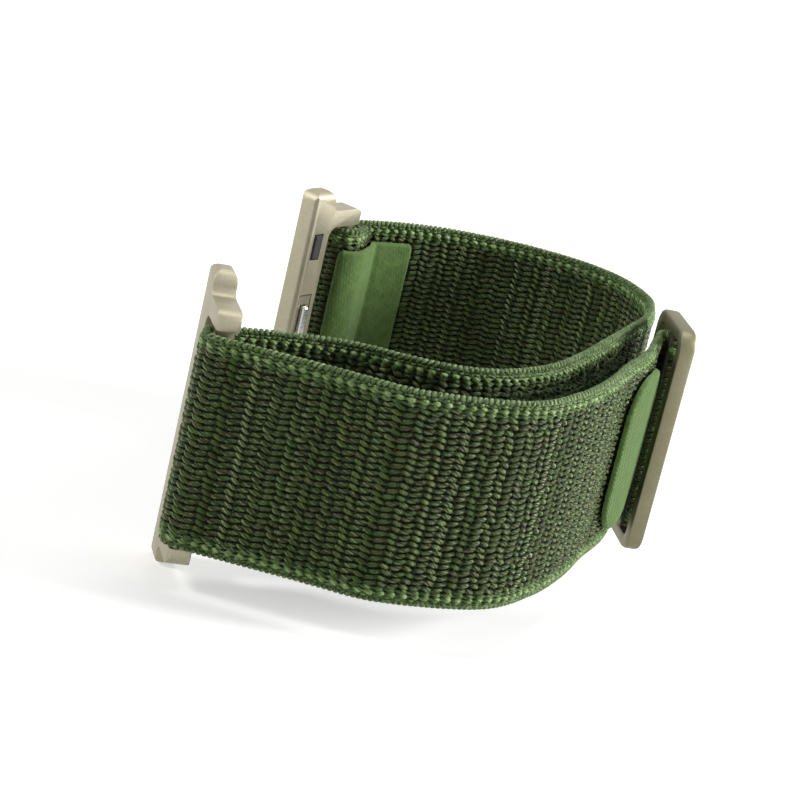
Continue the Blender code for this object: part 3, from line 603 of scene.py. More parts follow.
def warps(name, start, end, face):
    """The lengthwise yarns of one face, 1 for the tail's outer face, between two distances along the strip."""
    shift = 0.0 if face > 0 else FACE_SHIFT
    ring = np.arange((math.floor(start / REPEAT) - 1) * RINGS, (math.ceil(end / REPEAT) + 1) * RINGS)
    repeat, part = ring // RINGS, ring % RINGS
    level = (repeat + BODY_STITCHES[part, 0]) * REPEAT + shift
    kept = (level > start - 1e-7) & (level < end + 1e-7)
    repeat, part = repeat[kept], part[kept]
    shape = TABLES[:, part]
    row = np.arange(len(ROWS))[:, None]
    base = (repeat + shape[..., 0]) * REPEAT + shift
    stitch = 2 * repeat + (part >= RINGS // 2) + 2
    variety = VARIETY[0 if face > 0 else 1][:, stitch]
    wobble = sum(WAVE_HEIGHT * np.sin(base / (turn * REPEAT) + step * row) for turn, step in STITCH_WAVES)
    wobble = wobble + RANDOM_SHIFT * (variety[..., 5] - 0.5)
    ends = level[kept][[0, -1]]
    along = np.clip(base + wobble, *ends)
    along[:, [0, -1]] = ends

    across = ROWS[:, None] + face * shape[..., 1] * MM + RANDOM_SWAY * (variety[..., 1] - 0.5)
    out = shape[..., 2] * KEEP * MM + RANDOM_SWAY * (variety[..., 2] - 0.5)
    swell = (SWELL_LEAST + SWELL_SPREAD * variety[..., 3]) * MM
    lines = np.stack([along, across, face * out], axis=-1)
    # Painted highlight: slanted stitches and the highest rings of the selvage's beads are drawn brighter.
    slanted = (part >= RINGS // 2) & (SELVAGE == 0)
    olive = (OLIVE_BY_ROW * (row % 2) + OLIVE_AT_RANDOM * variety[..., 4]) * (SELVAGE == 0)
    crest = np.isin(part, CREST_RINGS) & (SELVAGE > CREST_BRIGHT)
    tint = TINT_AT_RANDOM * variety[..., 0] + TINT_SLANTED_HIGHLIGHT * slanted + TINT_CREST_HIGHLIGHT * crest
    dye_and_painted_light = np.stack([olive, np.broadcast_to(SELVAGE, out.shape), tint], axis=-1)
    return yarn_piece(name, lines, shape[..., 3] * swell, shape[..., 4] * swell, WARP_SIDES, ACROSS, dye_and_painted_light, YARN)


STRETCHES = (("back_run", 0.0, middle_cut), ("inner_layer", middle_cut, near_cut), ("tail", near_cut, STRIP.length))
WARPS = {}
for stretch, start, end in STRETCHES:
    for face, side in ((1, "outer"), (-1, "inner")):
        WARPS[stretch, side] = warps(f"{stretch}_{side}_warp_yarns", start, end, face)
print("triangles", {key: triangles(piece) for key, piece in WARPS.items()})

# %% [markdown]
# ## The cross yarn
# One cross yarn, the weft, spirals through the strip: across the outer face, round the edge, back across the
# inner face and round the other edge. Its turns are the small beads that can be felt along the selvage. Separate
# straight bars would need loose ends at the edges, so it is one long tube, slim between the faces and plump at
# its turns.

# %% Weft
WEFT_PITCH = REPEAT / 4      # between two crossings of one face
WEFT_HALF = (0.15 * MM, 0.09 * MM)
TURN_HALF = (0.27 * MM, 0.15 * MM)
TURN_REACH = BAND_WIDTH / 2 - TURN_HALF[1]
TURN_DEPTH = 0.20 * MM       # how far inside the edge the yarn starts to turn
TURN_RISE = 0.30 * MM
WEFT_RISE = 0.08 * MM
WEFT_SIDES = 5
CROSSING_POINTS, TURN_POINTS = 12, 7
TURN_TINT, TURN_TINT_SPREAD = 0.15, 0.35
TURN_BRIGHT = 0.8            # how much selvage green the turns have
# Painted shade: between the faces the cross yarn lies deep in the gaps, so it is drawn darker than any stitch.
CROSSING_PAINTED_SHADE = -1.05       # change of tint between the faces, darker than any stitch


def wefts(name, start, end):
    """The cross yarn between two distances along the strip, two crossings to each turn of its spiral."""
    first, last = math.ceil(start / WEFT_PITCH - 1e-6), math.floor(end / WEFT_PITCH + 1e-6) - 1
    stations = np.linspace(-ROWS[-2], ROWS[-2], CROSSING_POINTS)
    bend = np.linspace(0, np.pi, TURN_POINTS)
    pieces = []
    for pick in range(first, last + 1):
        for face, way, place in ((1, 1, pick * WEFT_PITCH), (-1, -1, (pick + 0.5) * WEFT_PITCH)):
            run = np.stack([np.full(len(stations), place), way * stations,
                            np.full(len(stations), face * WEFT_RISE)], axis=-1)
            turn = np.stack([place + WEFT_PITCH / 2 * bend / np.pi,
                             way * (TURN_REACH - TURN_DEPTH + TURN_DEPTH * np.sin(bend)),
                             face * TURN_RISE * np.cos(bend)], axis=-1)
            pieces += [run, turn]
    line = np.concatenate(pieces)[None]
    at_edge = np.clip((np.abs(line[..., 1]) - ROWS[-2]) / (ROWS[-1] - ROWS[-2]), 0, 1)
    # The cross yarn is one yarn: painted shade darkens it between the faces, and its turns take the selvage green.
    tint = random.random(line.shape[:2]) * TURN_TINT_SPREAD + TURN_TINT + CROSSING_PAINTED_SHADE * (1 - at_edge)
    dye_and_painted_light = np.stack([np.zeros_like(at_edge), TURN_BRIGHT * at_edge, tint], axis=-1)
    half = [WEFT_HALF[i] + (TURN_HALF[i] - WEFT_HALF[i]) * at_edge for i in (0, 1)]
    return yarn_piece(name, line, half[0], half[1], WEFT_SIDES, ALONG, dye_and_painted_light, YARN)


SEAL_LENGTH = 0.5 * MM       # of the melted ends, which the cross yarn stays out of
WEFTS = {stretch: wefts(f"{stretch}_weft_yarn", max(start, SEAL_LENGTH), min(end, STRIP.length - SEAL_LENGTH))
         for stretch, start, end in STRETCHES}
print("triangles", {key: triangles(piece) for key, piece in WEFTS.items()})

# %% [markdown]
# ## The ground and the sealed ends
# Between the two faces of such webbing lies a ground of fine binder threads, which closes the holes, so no
# light comes through. It could be left out, but then white dots would shine through the weave. It is a thin
# sheet along the strip's middle, near black as painted shade for the depth between the stitches. At both cut
# ends it thickens to a bead, because the webbing is cut with a hot blade that melts its edge.

# %% Ground material
# Painted shade: the ground is near black and stands for the depth between the stitches.
GROUND_SHADE_DEEP = linear("#0f1706")
GROUND_SHADE_SHALLOW = linear("#19240c")
GROUND_GRAIN = 0.4 * MM


def ground_finish():
    """Matt threads, near black as painted shade for the depth between the stitches."""
    made, tree, shader = finish_named("nylon_binder_ground")
    place = add(tree, "ShaderNodeTexCoord")
    grain = add(tree, "ShaderNodeTexNoise", {"Vector": place.outputs["Object"], "Scale": 1.0 / GROUND_GRAIN,
                                             "Detail": 2.0})
    colour = add(tree, "ShaderNodeMix", {0: grain.outputs["Fac"], 6: GROUND_SHADE_DEEP, 7: GROUND_SHADE_SHALLOW}, **BLENDED)
    tree.links.new(colour.outputs[2], shader.inputs["Base Color"])
    shader.inputs["Roughness"].default_value = 0.8
    shader.inputs["IOR"].default_value = NYLON_IOR
    return made


GROUND = ground_finish()
print("made", GROUND.name)

# %% Ground sheet
GROUND_HALF = 0.05 * MM
GROUND_WIDTH = BAND_WIDTH - 1.4 * MM
GROUND_STEP = 0.5 * MM
SEAL_HALF = 0.55 * MM
SEAL_WIDTH = BAND_WIDTH - 0.1 * MM


def ground(name, start, end, sealed_start, sealed_end):
    """A thin sheet with closed edges, thicker at a sealed end."""
    count = round((end - start) / GROUND_STEP)
    along = np.linspace(start, end, count + 1)
    extra = [start + SEAL_LENGTH * share for share in (0.5, 1.0)] if sealed_start else []
    extra += [end - SEAL_LENGTH * share for share in (0.5, 1.0)] if sealed_end else []
    along = np.unique(np.concatenate([along, extra]))
    half = np.full(len(along), GROUND_HALF)
    if sealed_start:
        half = np.where(along - start < SEAL_LENGTH, SEAL_HALF, half)
    if sealed_end:
        half = np.where(end - along < SEAL_LENGTH, SEAL_HALF, half)
    wide = np.where(half > GROUND_HALF, SEAL_WIDTH, GROUND_WIDTH) / 2
    ring = np.array([(-1, -0.5), (-0.97, -1), (0.97, -1), (1, -0.5), (1, 0.5), (0.97, 1), (-0.97, 1), (-1, 0.5)])
    across = ring[None, :, 0] * wide[:, None]
    out = ring[None, :, 1] * half[:, None]
    places = lay(np.broadcast_to(along[:, None], across.shape), across, out)[None]
    piece = facing_out(tube_mesh(name, places, {}))
    piece.data.materials.append(GROUND)
    return piece


tail_ground = ground("tail_binder_ground", near_cut, STRIP.length, False, True)
wrist_ground = ground("wrist_run_binder_ground", 0.0, near_cut, True, False)
print("triangles", [triangles(p) for p in (tail_ground, wrist_ground)])

# %% [markdown]
# ## How the strip moves
# The tail peels open where it leaves the near bar. Riding on one body alone would tear the threads there. The
# wrist run's pieces ride on the band, the tail's pieces keep their places, and the places a few millimetres on
# both sides of the bend are worked out.

# %% Wrist run pieces ride on the band
BEND_REACH = 3.0 * MM
bend_start = lay(np.array(bend_place - BEND_REACH), np.array(0.0), np.array(0.0))
bend_end = lay(np.array(bend_place + BEND_REACH), np.array(0.0), np.array(0.0))
for piece in (WARPS["tail", "outer"], WARPS["tail", "inner"], WEFTS["tail"], tail_ground):
    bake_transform(piece)
    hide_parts("woven_band_tail")
for piece in [piece for (stretch, side), piece in WARPS.items() if stretch != "tail"] + [
        WEFTS["back_run"], WEFTS["inner_layer"], wrist_ground]:
    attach(piece, "band")
    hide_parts("woven_band_wrist_run")

# %% [markdown]
# ## Anchor pads
# Two pads of felted nylon twill cover the places where the strip's ends are welded down: one on the tail beside
# the buckle, one over the fold at the far connector. A cushion would be inflated by cloth simulation, but these
# are 0.8 mm sheets, bonded flat, so each is a grid drawn in cloth sizes with the outline, the rolled rim and
# the fine ribs worked out point by point, and laid along its own route. The ribs are really about 0.3 mm
# apart; they are drawn 0.38 mm apart so that they show.

# %% Felted twill
TWILL_DARK = linear("#48612b")
TWILL_LIGHT = linear("#80a25f")
TWILL_FIBRE = 0.12           # mm
FIBRE_SLANT = math.radians(58)
FIBRE_STRETCH = (0.45, 0.12)     # fineness of the fibre pattern over its fibres and along them
RIB_WEIGHT = 0.75            # how much the ribs count beside the fibres
PILE_SHADES = (0.86, 1.12)   # brightness of the felt's clouds


def twill_finish():
    """Felted twill: light ribs under a soft, cloudy nap."""
    made, tree, shader = finish_named("felted_nylon_twill")
    cloth = add(tree, "ShaderNodeAttribute", attribute_name="Cloth")
    parts = add(tree, "ShaderNodeSeparateXYZ", {0: cloth.outputs["Vector"]})
    fibres = add(tree, "ShaderNodeMapping", {
        "Vector": cloth.outputs["Vector"], "Rotation": (0, 0, FIBRE_SLANT),
        "Scale": (FIBRE_STRETCH[0] / TWILL_FIBRE, FIBRE_STRETCH[1] / TWILL_FIBRE, 1.0)})
    grain = add(tree, "ShaderNodeTexNoise", {"Vector": fibres.outputs["Vector"], "Scale": 1.0, "Detail": 3.0,
                                             "Roughness": 0.65})
    cloud = add(tree, "ShaderNodeTexNoise", {"Vector": cloth.outputs["Vector"], "Scale": 0.9, "Detail": 1.0})
    rib = add(tree, "ShaderNodeMath", {0: parts.outputs["Z"], 1: RIB_WEIGHT, 2: grain.outputs["Fac"]},
              operation="MULTIPLY_ADD")
    light = add(tree, "ShaderNodeMapRange", {"Value": rib.outputs[0], "From Min": 0.0, "From Max": 1.4})
    colour = add(tree, "ShaderNodeMix", {0: light.outputs["Result"], 6: TWILL_DARK, 7: TWILL_LIGHT}, **BLENDED)
    shade = add(tree, "ShaderNodeMapRange", {"Value": cloud.outputs["Fac"], "From Min": 0.3, "From Max": 0.7,
                                             "To Min": PILE_SHADES[0], "To Max": PILE_SHADES[1]})
    colour = add(tree, "ShaderNodeMix", {0: 1.0, 6: colour.outputs[2], 7: shade.outputs["Result"]}, **MULTIPLIED)
    tree.links.new(colour.outputs[2], shader.inputs["Base Color"])
    bump = add(tree, "ShaderNodeBump", {"Height": grain.outputs["Fac"], "Strength": 0.8, "Distance": 0.05 * MM})
    tree.links.new(bump.outputs["Normal"], shader.inputs["Normal"])
    shader.inputs["Roughness"].default_value = 0.75
    shader.inputs["IOR"].default_value = NYLON_IOR
    shader.inputs["Specular IOR Level"].default_value = 0.15
    shader.inputs["Sheen Weight"].default_value = 0.12
    shader.inputs["Sheen Roughness"].default_value = 0.5
    return made


TWILL = twill_finish()
print("made", TWILL.name)

# %% Pad routes
PAD_THICKNESS = 0.8 * MM
PAD_DRAWN = 0.6 * MM         # of that, because a rolled edge looks thicker than it is
PAD_WIDTH = BAND_WIDTH - 5.0 * MM
FAR_PAD_WRAP = 75.0          # degrees round the fold
FAR_PAD_LENGTH = 11.5 * MM
TAIL_PAD_LENGTH = 12.5 * MM
TAIL_PAD_END = 2.9 * MM      # from the pad's end to where the tail meets the centre bar
PAD_CORNERS = {"far": 0.8 * MM, "tail": 5.0 * MM}
pad_rise = BAND_THICKNESS / 2 + SEAT_GAP + PAD_THICKNESS / 2


def beside(route, start, end, rise, step):
    """Points of a route between two distances, moved to its right."""
    point, heading = route.at(np.linspace(start, end, max(2, round((end - start) / step) + 1)))
    return point + to_right(heading) * rise


flap_out = to_right(unit(flap_tip - flap_start))
past_step = FLAP_LENGTH + BAND_THICKNESS + PAD_THICKNESS
round_fold = arc(FAR_BAR, fold_radius + pad_rise, flap_touch - 360.0 - FAR_PAD_WRAP, flap_touch - 360.0)[::3]
FAR_PAD = Route(smooth_through(np.concatenate([
    round_fold, [(flap_start + flap_tip) / 2 + flap_out * pad_rise, flap_tip + flap_out * pad_rise],
    beside(back_run, past_step, FAR_PAD_LENGTH, pad_rise, 1.2 * MM)])))
tail_pad_end = TAIL.length - TAIL_PAD_END
TAIL_PAD = Route(beside(TAIL, tail_pad_end - TAIL_PAD_LENGTH, tail_pad_end, pad_rise, ROUTE_STEP))
print("pad lengths in mm", round(FAR_PAD.length * 1000, 1), round(TAIL_PAD.length * 1000, 1))

# %% Relief of a pad
GRID_STEP = 0.11 * MM
END_CROWDING, SIDE_CROWDING = 0.35, 0.12     # how much closer the grid's lines are at its rim
RIB_PITCH = 0.38 * MM
DASH_PITCH = 0.80 * MM       # of the twill's floats along a rib
FLOAT_SHARE = 0.35           # of a rib's height that comes and goes with its floats
FLOAT_STAGGER = 0.38         # of a float's pitch, from rib to rib
RIB_SLANTS = {"far": math.radians(82), "tail": math.radians(45)}     # of the ribs' crests to the strip's length
RIB_STRENGTHS = {"far": 0.25, "tail": 1.0}      # the far pad is worn smoother
RIB_HEIGHT = 0.030 * MM
RIB_FADE = 0.4 * MM          # how far in from the rim the ribs reach their full height
RIM_ROUND = 0.35 * MM
RIM_PRESS = 0.10 * MM
PRESS_REACH = 1.1 * MM
PAD_SHARP_ANGLE = math.radians(55)


def rim_distance(along, across, length, half_width, corner):
    """How far inside a rounded rectangle each place is."""
    over_end = np.abs(along - length / 2) - (length / 2 - corner)
    over_side = np.abs(across) - (half_width - corner)
    outside = np.hypot(np.maximum(over_end, 0), np.maximum(over_side, 0))
    return corner - outside - np.minimum(np.maximum(over_end, over_side), 0)


def pad_relief(length, side):
    """Cloth places of a pad's grid, how high its top is there, and its ribs."""
    half_width, corner, slant = PAD_WIDTH / 2, PAD_CORNERS[side], RIB_SLANTS[side]
    share = np.linspace(0, 1, round(length / GRID_STEP))
    along = length * (share - END_CROWDING * np.sin(2 * np.pi * share) / (2 * np.pi))
    nearest_end = np.minimum(along, length - along)
    into = np.clip(corner - nearest_end, 0, corner)
    row_half = half_width - corner + np.sqrt(corner ** 2 - into ** 2)
    column = np.linspace(-1, 1, round(PAD_WIDTH / GRID_STEP))
    column = column + SIDE_CROWDING * np.sin(np.pi * column) / np.pi
    across = row_half[:, None] * column
    along = np.broadcast_to(along[:, None], across.shape)
    rim = np.clip(rim_distance(along, across, length, half_width, corner), 0, None)
    roll = np.sqrt(np.clip(1 - (1 - np.clip(rim / RIM_ROUND, 0, 1)) ** 2, 0, 1))
    press = 1 - np.clip(rim / PRESS_REACH, 0, 1)
    over_ribs = (along * math.sin(slant) + across * math.cos(slant)) / RIB_PITCH
    on_rib = (across * math.sin(slant) - along * math.cos(slant)) / DASH_PITCH
    float_of = np.cos(2 * np.pi * (on_rib + FLOAT_STAGGER * np.round(over_ribs)))
    ribs = (0.5 + 0.5 * np.cos(2 * np.pi * over_ribs)) * (1 - FLOAT_SHARE + FLOAT_SHARE * float_of) * 2 - 1
    ribs = ribs * RIB_STRENGTHS[side] * np.clip(rim / RIB_FADE, 0, 1)
    top = -PAD_THICKNESS / 2 + roll * (PAD_DRAWN - RIM_PRESS * press ** 2 + RIB_HEIGHT * ribs)
    return along, across, top, ribs


print("ribs on a pad's width", round(PAD_WIDTH / RIB_PITCH))


# %% Pads
def pad(name, route, side, body, node):
    """A bonded pad: a grid over its outline, with a rolled rim, ribs and a flat underside."""
    along, across, top, ribs = pad_relief(route.length, side)
    under = np.full_like(top, -PAD_THICKNESS / 2)
    rows, columns = top.shape
    upper = lay(along, across, top, route).reshape(-1, 3)
    inner = np.zeros(top.shape, bool)
    inner[1:-1, 1:-1] = True
    lower_index = np.full(top.size, -1)
    lower_index[inner.ravel()] = top.size + np.arange(inner.sum())
    lower_index[~inner.ravel()] = np.arange(top.size)[~inner.ravel()]
    lower = lay(along, across, under, route).reshape(-1, 3)[inner.ravel()]
    index = np.arange(top.size).reshape(rows, columns)
    corners = [index[:-1, :-1], index[1:, :-1], index[1:, 1:], index[:-1, 1:]]
    faces = np.stack(corners, axis=-1).reshape(-1, 4)
    faces = np.concatenate([faces, lower_index[faces][:, ::-1]])
    mesh = bpy.data.meshes.new(name)
    mesh.from_pydata(np.concatenate([upper, lower]).tolist(), [], faces.tolist())
    mesh.shade_smooth()
    mesh.set_sharp_from_angle(angle=PAD_SHARP_ANGLE)
    cloth = np.stack([along, across, ribs * MM], axis=-1).reshape(-1, 3) / MM
    cloth = np.concatenate([cloth, cloth[inner.ravel()]]).astype(np.float32)
    mesh.attributes.new("Cloth", "FLOAT_VECTOR", "POINT").data.foreach_set("vector", cloth.ravel())
    piece = bpy.data.objects.new(name, mesh)
    bpy.context.scene.collection.objects.link(piece)
    facing_out(piece)
    piece.data.materials.append(TWILL)
    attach(piece, body)
    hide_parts(node)
    return piece


far_pad = pad("far_twill_pad", FAR_PAD, "far", "band", "far_anchor_pad")
tail_pad = pad("tail_twill_pad", TAIL_PAD, "tail", "tail", "tail_anchor_pad")
print("triangles", triangles(far_pad), triangles(tail_pad))

# %% [markdown]
# ## Hooks and loops
# The tail is held by a patch of small nylon hooks that catches a patch of soft loops on the inner layer. Both lie
# between the layers, and only their upper edges show. Hair could be grown there, but the export keeps meshes
# only, so each loop is a small closed arch and each hook a bent pin, drawn with few faces because there are
# hundreds. They stand on thin knitted backings.

# %% Nylon of the fastener
FASTENER_GRAIN = 0.5 * MM    # patches of lighter and darker pile
FASTENER_ROUGHNESS = 0.4


def fastener_finish(name, dark, light):
    """Pile with a plain gloss, lighter and darker from tuft to tuft."""
    made, tree, shader = finish_named(name)
    dye_and_painted_light_node = add(tree, "ShaderNodeAttribute", attribute_name="Dye")
    dye_and_painted_light = add(tree, "ShaderNodeSeparateXYZ", {0: dye_and_painted_light_node.outputs["Vector"]})
    place = add(tree, "ShaderNodeTexCoord")
    grain = add(tree, "ShaderNodeTexNoise", {"Vector": place.outputs["Object"], "Scale": 1.0 / FASTENER_GRAIN,
                                             "Detail": 2.0})
    both = add(tree, "ShaderNodeMath", {0: dye_and_painted_light.outputs["Z"], 1: grain.outputs["Fac"]}, operation="MULTIPLY")
    share = add(tree, "ShaderNodeMapRange", {"Value": both.outputs[0], "From Min": 0.05, "From Max": 0.6})
    colour = add(tree, "ShaderNodeMix", {0: share.outputs["Result"], 6: dark, 7: light}, **BLENDED)
    tree.links.new(colour.outputs[2], shader.inputs["Base Color"])
    shader.inputs["Roughness"].default_value = FASTENER_ROUGHNESS
    shader.inputs["IOR"].default_value = NYLON_IOR
    return made


LOOPS = fastener_finish("brushed_nylon_loops", linear("#28381a"), linear("#628546"))
HOOKS = fastener_finish("moulded_nylon_hooks", linear("#36472a"), linear("#5f7549"))
print("made", LOOPS.name, HOOKS.name)

# %% Patch routes
CLOSURE_MARGIN = 8.0 * MM    # from the buckle's centre bar back to the patches
HOOK_LENGTH = 14.0 * MM
LOOP_PATCH_LENGTH = 29.0 * MM
PATCH_WIDTH = BAND_WIDTH - 3.6 * MM
BACKING_WIDTH = BAND_WIDTH - 7.0 * MM
BACKING = 0.30 * MM          # thickness of a patch's knitted backing
BACKING_STEP = 0.6 * MM
BACKING_TINT = 0.35
closure_end = BUCKLE_STATION - CLOSURE_MARGIN
hook_end = TAIL.length - CLOSURE_MARGIN
patch_base = BAND_THICKNESS / 2 + SEAT_GAP
LOOP_ROUTE = Route(beside(INNER, closure_end - LOOP_PATCH_LENGTH, closure_end, patch_base, ROUTE_STEP))
HOOK_ROUTE = Route(beside(TAIL, hook_end - HOOK_LENGTH, hook_end, -patch_base, ROUTE_STEP))
print("patches in mm", round(LOOP_ROUTE.length * 1000, 1), round(HOOK_ROUTE.length * 1000, 1))

# %% Backings
def backing(name, route, side, finish, body, node):
    """A thin strip with rounded edges on one side of its route."""
    count = round(route.length / BACKING_STEP)
    along = np.linspace(0, route.length, count + 1)
    ring = np.array([(-1, 0.25), (-0.985, 0), (0.985, 0), (1, 0.25), (1, 0.75), (0.985, 1), (-0.985, 1), (-1, 0.75)])
    across = np.broadcast_to(ring[:, 0] * BACKING_WIDTH / 2, (len(along), 8))
    out = np.broadcast_to(side * ring[:, 1] * BACKING, (len(along), 8))
    places = lay(np.broadcast_to(along[:, None], across.shape), across, out, route)[None]
    dye_and_painted_light = np.full(places.shape, BACKING_TINT)
    piece = facing_out(tube_mesh(name, places, {"Dye": dye_and_painted_light}))
    piece.data.materials.append(finish)
    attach(piece, body)
    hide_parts(node)
    return piece


BACKINGS = (backing("loop_patch_backing", LOOP_ROUTE, 1, LOOPS, "band", "loop_patch"),
            backing("hook_patch_backing", HOOK_ROUTE, -1, HOOKS, "tail", "hook_patch"))
print("triangles", [triangles(piece) for piece in BACKINGS])

# %% Loops and hooks
LOOP_PITCH, LOOP_HALF, LOOP_SIDES = 0.72 * MM, 0.055 * MM, 3
HOOK_PITCH, HOOK_HALF, HOOK_SIDES = 0.95 * MM, 0.09 * MM, 4
PIN_SHAKE = 0.3              # how far a stem strays from the even grid, in pitches
PIN_LEAST, PIN_SPREAD = 0.8, 0.4     # size of a pin beside its profile
# Places along each pin, in mm beside its foot and over it.
LOOP_PROFILE = ((-0.30, 0.0), (-0.34, 0.35), (-0.20, 0.72), (0.05, 0.82), (0.28, 0.62), (0.34, 0.25), (0.26, 0.0))
HOOK_PROFILE = ((0.0, 0.0), (0.02, 0.45), (0.10, 0.72), (0.27, 0.80), (0.40, 0.66), (0.41, 0.52))


def scattered(length, pitch):
    """Places of a patch's stems: an even grid, each moved a little."""
    rows = np.arange(pitch / 2, length, pitch)
    columns = np.arange(-PATCH_WIDTH / 2 + pitch / 2, PATCH_WIDTH / 2, pitch)
    along, across = (grid.ravel() for grid in np.meshgrid(rows, columns, indexing="ij"))
    shake = PIN_SHAKE * pitch * (random.random((2, len(along))) - 0.5)
    return along + shake[0], across + shake[1]


def pins(name, route, side, pitch, profile, half, sides, finish, body, node):
    """Bent pins on a patch: loops turn any way, and hooks point along the strip, one way and the other."""
    along, across = scattered(route.length, pitch)
    turn = 2 * np.pi * random.random(len(along)) if side > 0 else np.pi * (np.arange(len(along)) % 2)
    size = PIN_LEAST + PIN_SPREAD * random.random(len(along))
    profile = np.array(profile) * MM
    beside_foot = profile[:, 0] * size[:, None]
    lines = np.stack([along[:, None] + beside_foot * np.cos(turn)[:, None],
                      across[:, None] + beside_foot * np.sin(turn)[:, None],
                      np.broadcast_to(side * (BACKING / 2 + profile[:, 1] * size[:, None]), beside_foot.shape)], -1)
    # The ring frame needs a level direction that is never along the pin, so it is set across its plane.
    tangent = unit(np.gradient(lines, axis=1))
    level = np.stack([-np.sin(turn), np.cos(turn), np.zeros_like(turn)], axis=-1)[:, None]
    level = np.broadcast_to(level, tangent.shape)
    rise = np.cross(tangent, level)
    angle = 2 * np.pi * np.arange(sides) / sides
    rings = lines[:, :, None] + half * (level[:, :, None] * np.cos(angle)[:, None]
                                        + rise[:, :, None] * np.sin(angle)[:, None])
    places = lay(rings[..., 0], rings[..., 1], rings[..., 2], route)
    tint = random.random(len(along))
    dye_and_painted_light = np.broadcast_to(tint[:, None, None, None], places.shape)
    piece = facing_out(tube_mesh(name, places, {"Dye": dye_and_painted_light}))
    piece.data.materials.append(finish)
    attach(piece, body)
    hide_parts(node)
    return piece


loops = pins("loop_patch_loops", LOOP_ROUTE, 1, LOOP_PITCH, LOOP_PROFILE, LOOP_HALF, LOOP_SIDES, LOOPS, "band",
             "loop_patch")
hooks = pins("hook_patch_hooks", HOOK_ROUTE, -1, HOOK_PITCH, HOOK_PROFILE, HOOK_HALF, HOOK_SIDES, HOOKS, "tail",
             "hook_patch")
print("triangles", triangles(loops), triangles(hooks))

# %% [markdown]
# ## Pulled fibres
# Peeling the tail open pulls a few loops out of their patch, and they curl up at its top edge beside the buckle.
# Hair or bezier curves would draw them too, but they are the same nylon as the strip, so the yarn's own tubes
# and material are used again, along curls whose places and sizes are given.

# %% Pulled fibres
FIBRE_HALF = 0.06 * MM
FIBRE_POINTS, FIBRE_SIDES = 17, 5
FIBRE_CURL, FIBRE_LEAN = 0.45, 0.2   # of a curl's width: how far it loops back, and to which side it leans
FIBRE_FOOT = 0.5             # mm below the patch's edge and out of its base
FIBRE_SWAY = 0.35            # mm
FIBRE_DYE = (0.0, 0.9, 0.8)
# Each curl's place along the loop patch, its width and its rise over the patch's edge, in mm.
FIBRE_TURNS = (
    (26.0, 1.9, 1.3), (23.4, 1.2, 0.9), (20.2, 2.3, 0.8), (16.5, 1.4, 0.7), (27.6, 1.1, 1.6), (12.0, 1.6, 0.6),
    (24.6, 2.6, 0.5), (8.0, 1.3, 0.5), (18.4, 0.9, 1.1),
)


def pulled_fibres():
    """Loops that use has pulled out of the patch, curling up at its top edge."""
    share = np.linspace(0, 1, FIBRE_POINTS)
    lines = []
    for place, width, rise in FIBRE_TURNS:
        sway = random.random(3)
        curl = FIBRE_CURL * width * np.sin(2 * np.pi * share) * (sway[0] - FIBRE_LEAN)
        along = place + width * (share - 0.5) + curl
        arch = np.sin(np.pi * share) ** (0.7 + 0.5 * sway[1])
        across = PATCH_WIDTH / 2 / MM - FIBRE_FOOT + (rise + FIBRE_FOOT) * arch
        out = FIBRE_FOOT + FIBRE_SWAY * np.sin(2 * np.pi * share + 6 * sway[2])
        lines.append(np.stack([along, across, out], axis=-1) * MM)
    lines = np.stack(lines)
    half = np.full(lines.shape[:2], FIBRE_HALF)
    dye_and_painted_light = np.broadcast_to(FIBRE_DYE, lines.shape)
    piece = yarn_piece("pulled_loop_fibres", lines, half, half, FIBRE_SIDES, OUT, dye_and_painted_light, YARN, LOOP_ROUTE)
    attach(piece, "band")
    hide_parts("loop_patch")
    return piece


fibres = pulled_fibres()
print("fibres", len(FIBRE_TURNS), "triangles", triangles(fibres))

# %% [markdown]
# ## Metal parts
# Both connectors and the buckle frame are machined from stainless steel, bead blasted and then coated champagne,
# so they have a soft satin gloss and fine grit, and every edge is broken. The CAD solids have the right shapes
# but knife-sharp edges, so each is copied, its loose triangles are merged, the flat faces are cleaned up, and a
# small bevel breaks the edges that the light catches. Bevelling their own meshes isn't allowed in a fixed frame,
# so each is copied, its loose triangles are merged, the flat faces are cleaned up, and a small bevel breaks the
# edges that the light catches.

# %% Champagne coated steel
CHAMPAGNE = linear("#a39d88")
CHAMPAGNE_WORN = linear("#b9b3a0")
BUCKLE_CHAMPAGNE = linear("#7f7b63")
BUCKLE_WORN = linear("#a09b85")
GRIT = 0.16 * MM             # blasting marks, really 0.05 mm, drawn as coarse as they need to show
WEAR_PATCH = 6.0 * MM        # size of the patches where the coating is polished by use
WEAR_SHARE = 0.4
STEEL_ROUGHNESS = (0.44, 0.56)       # polished patches and the rest


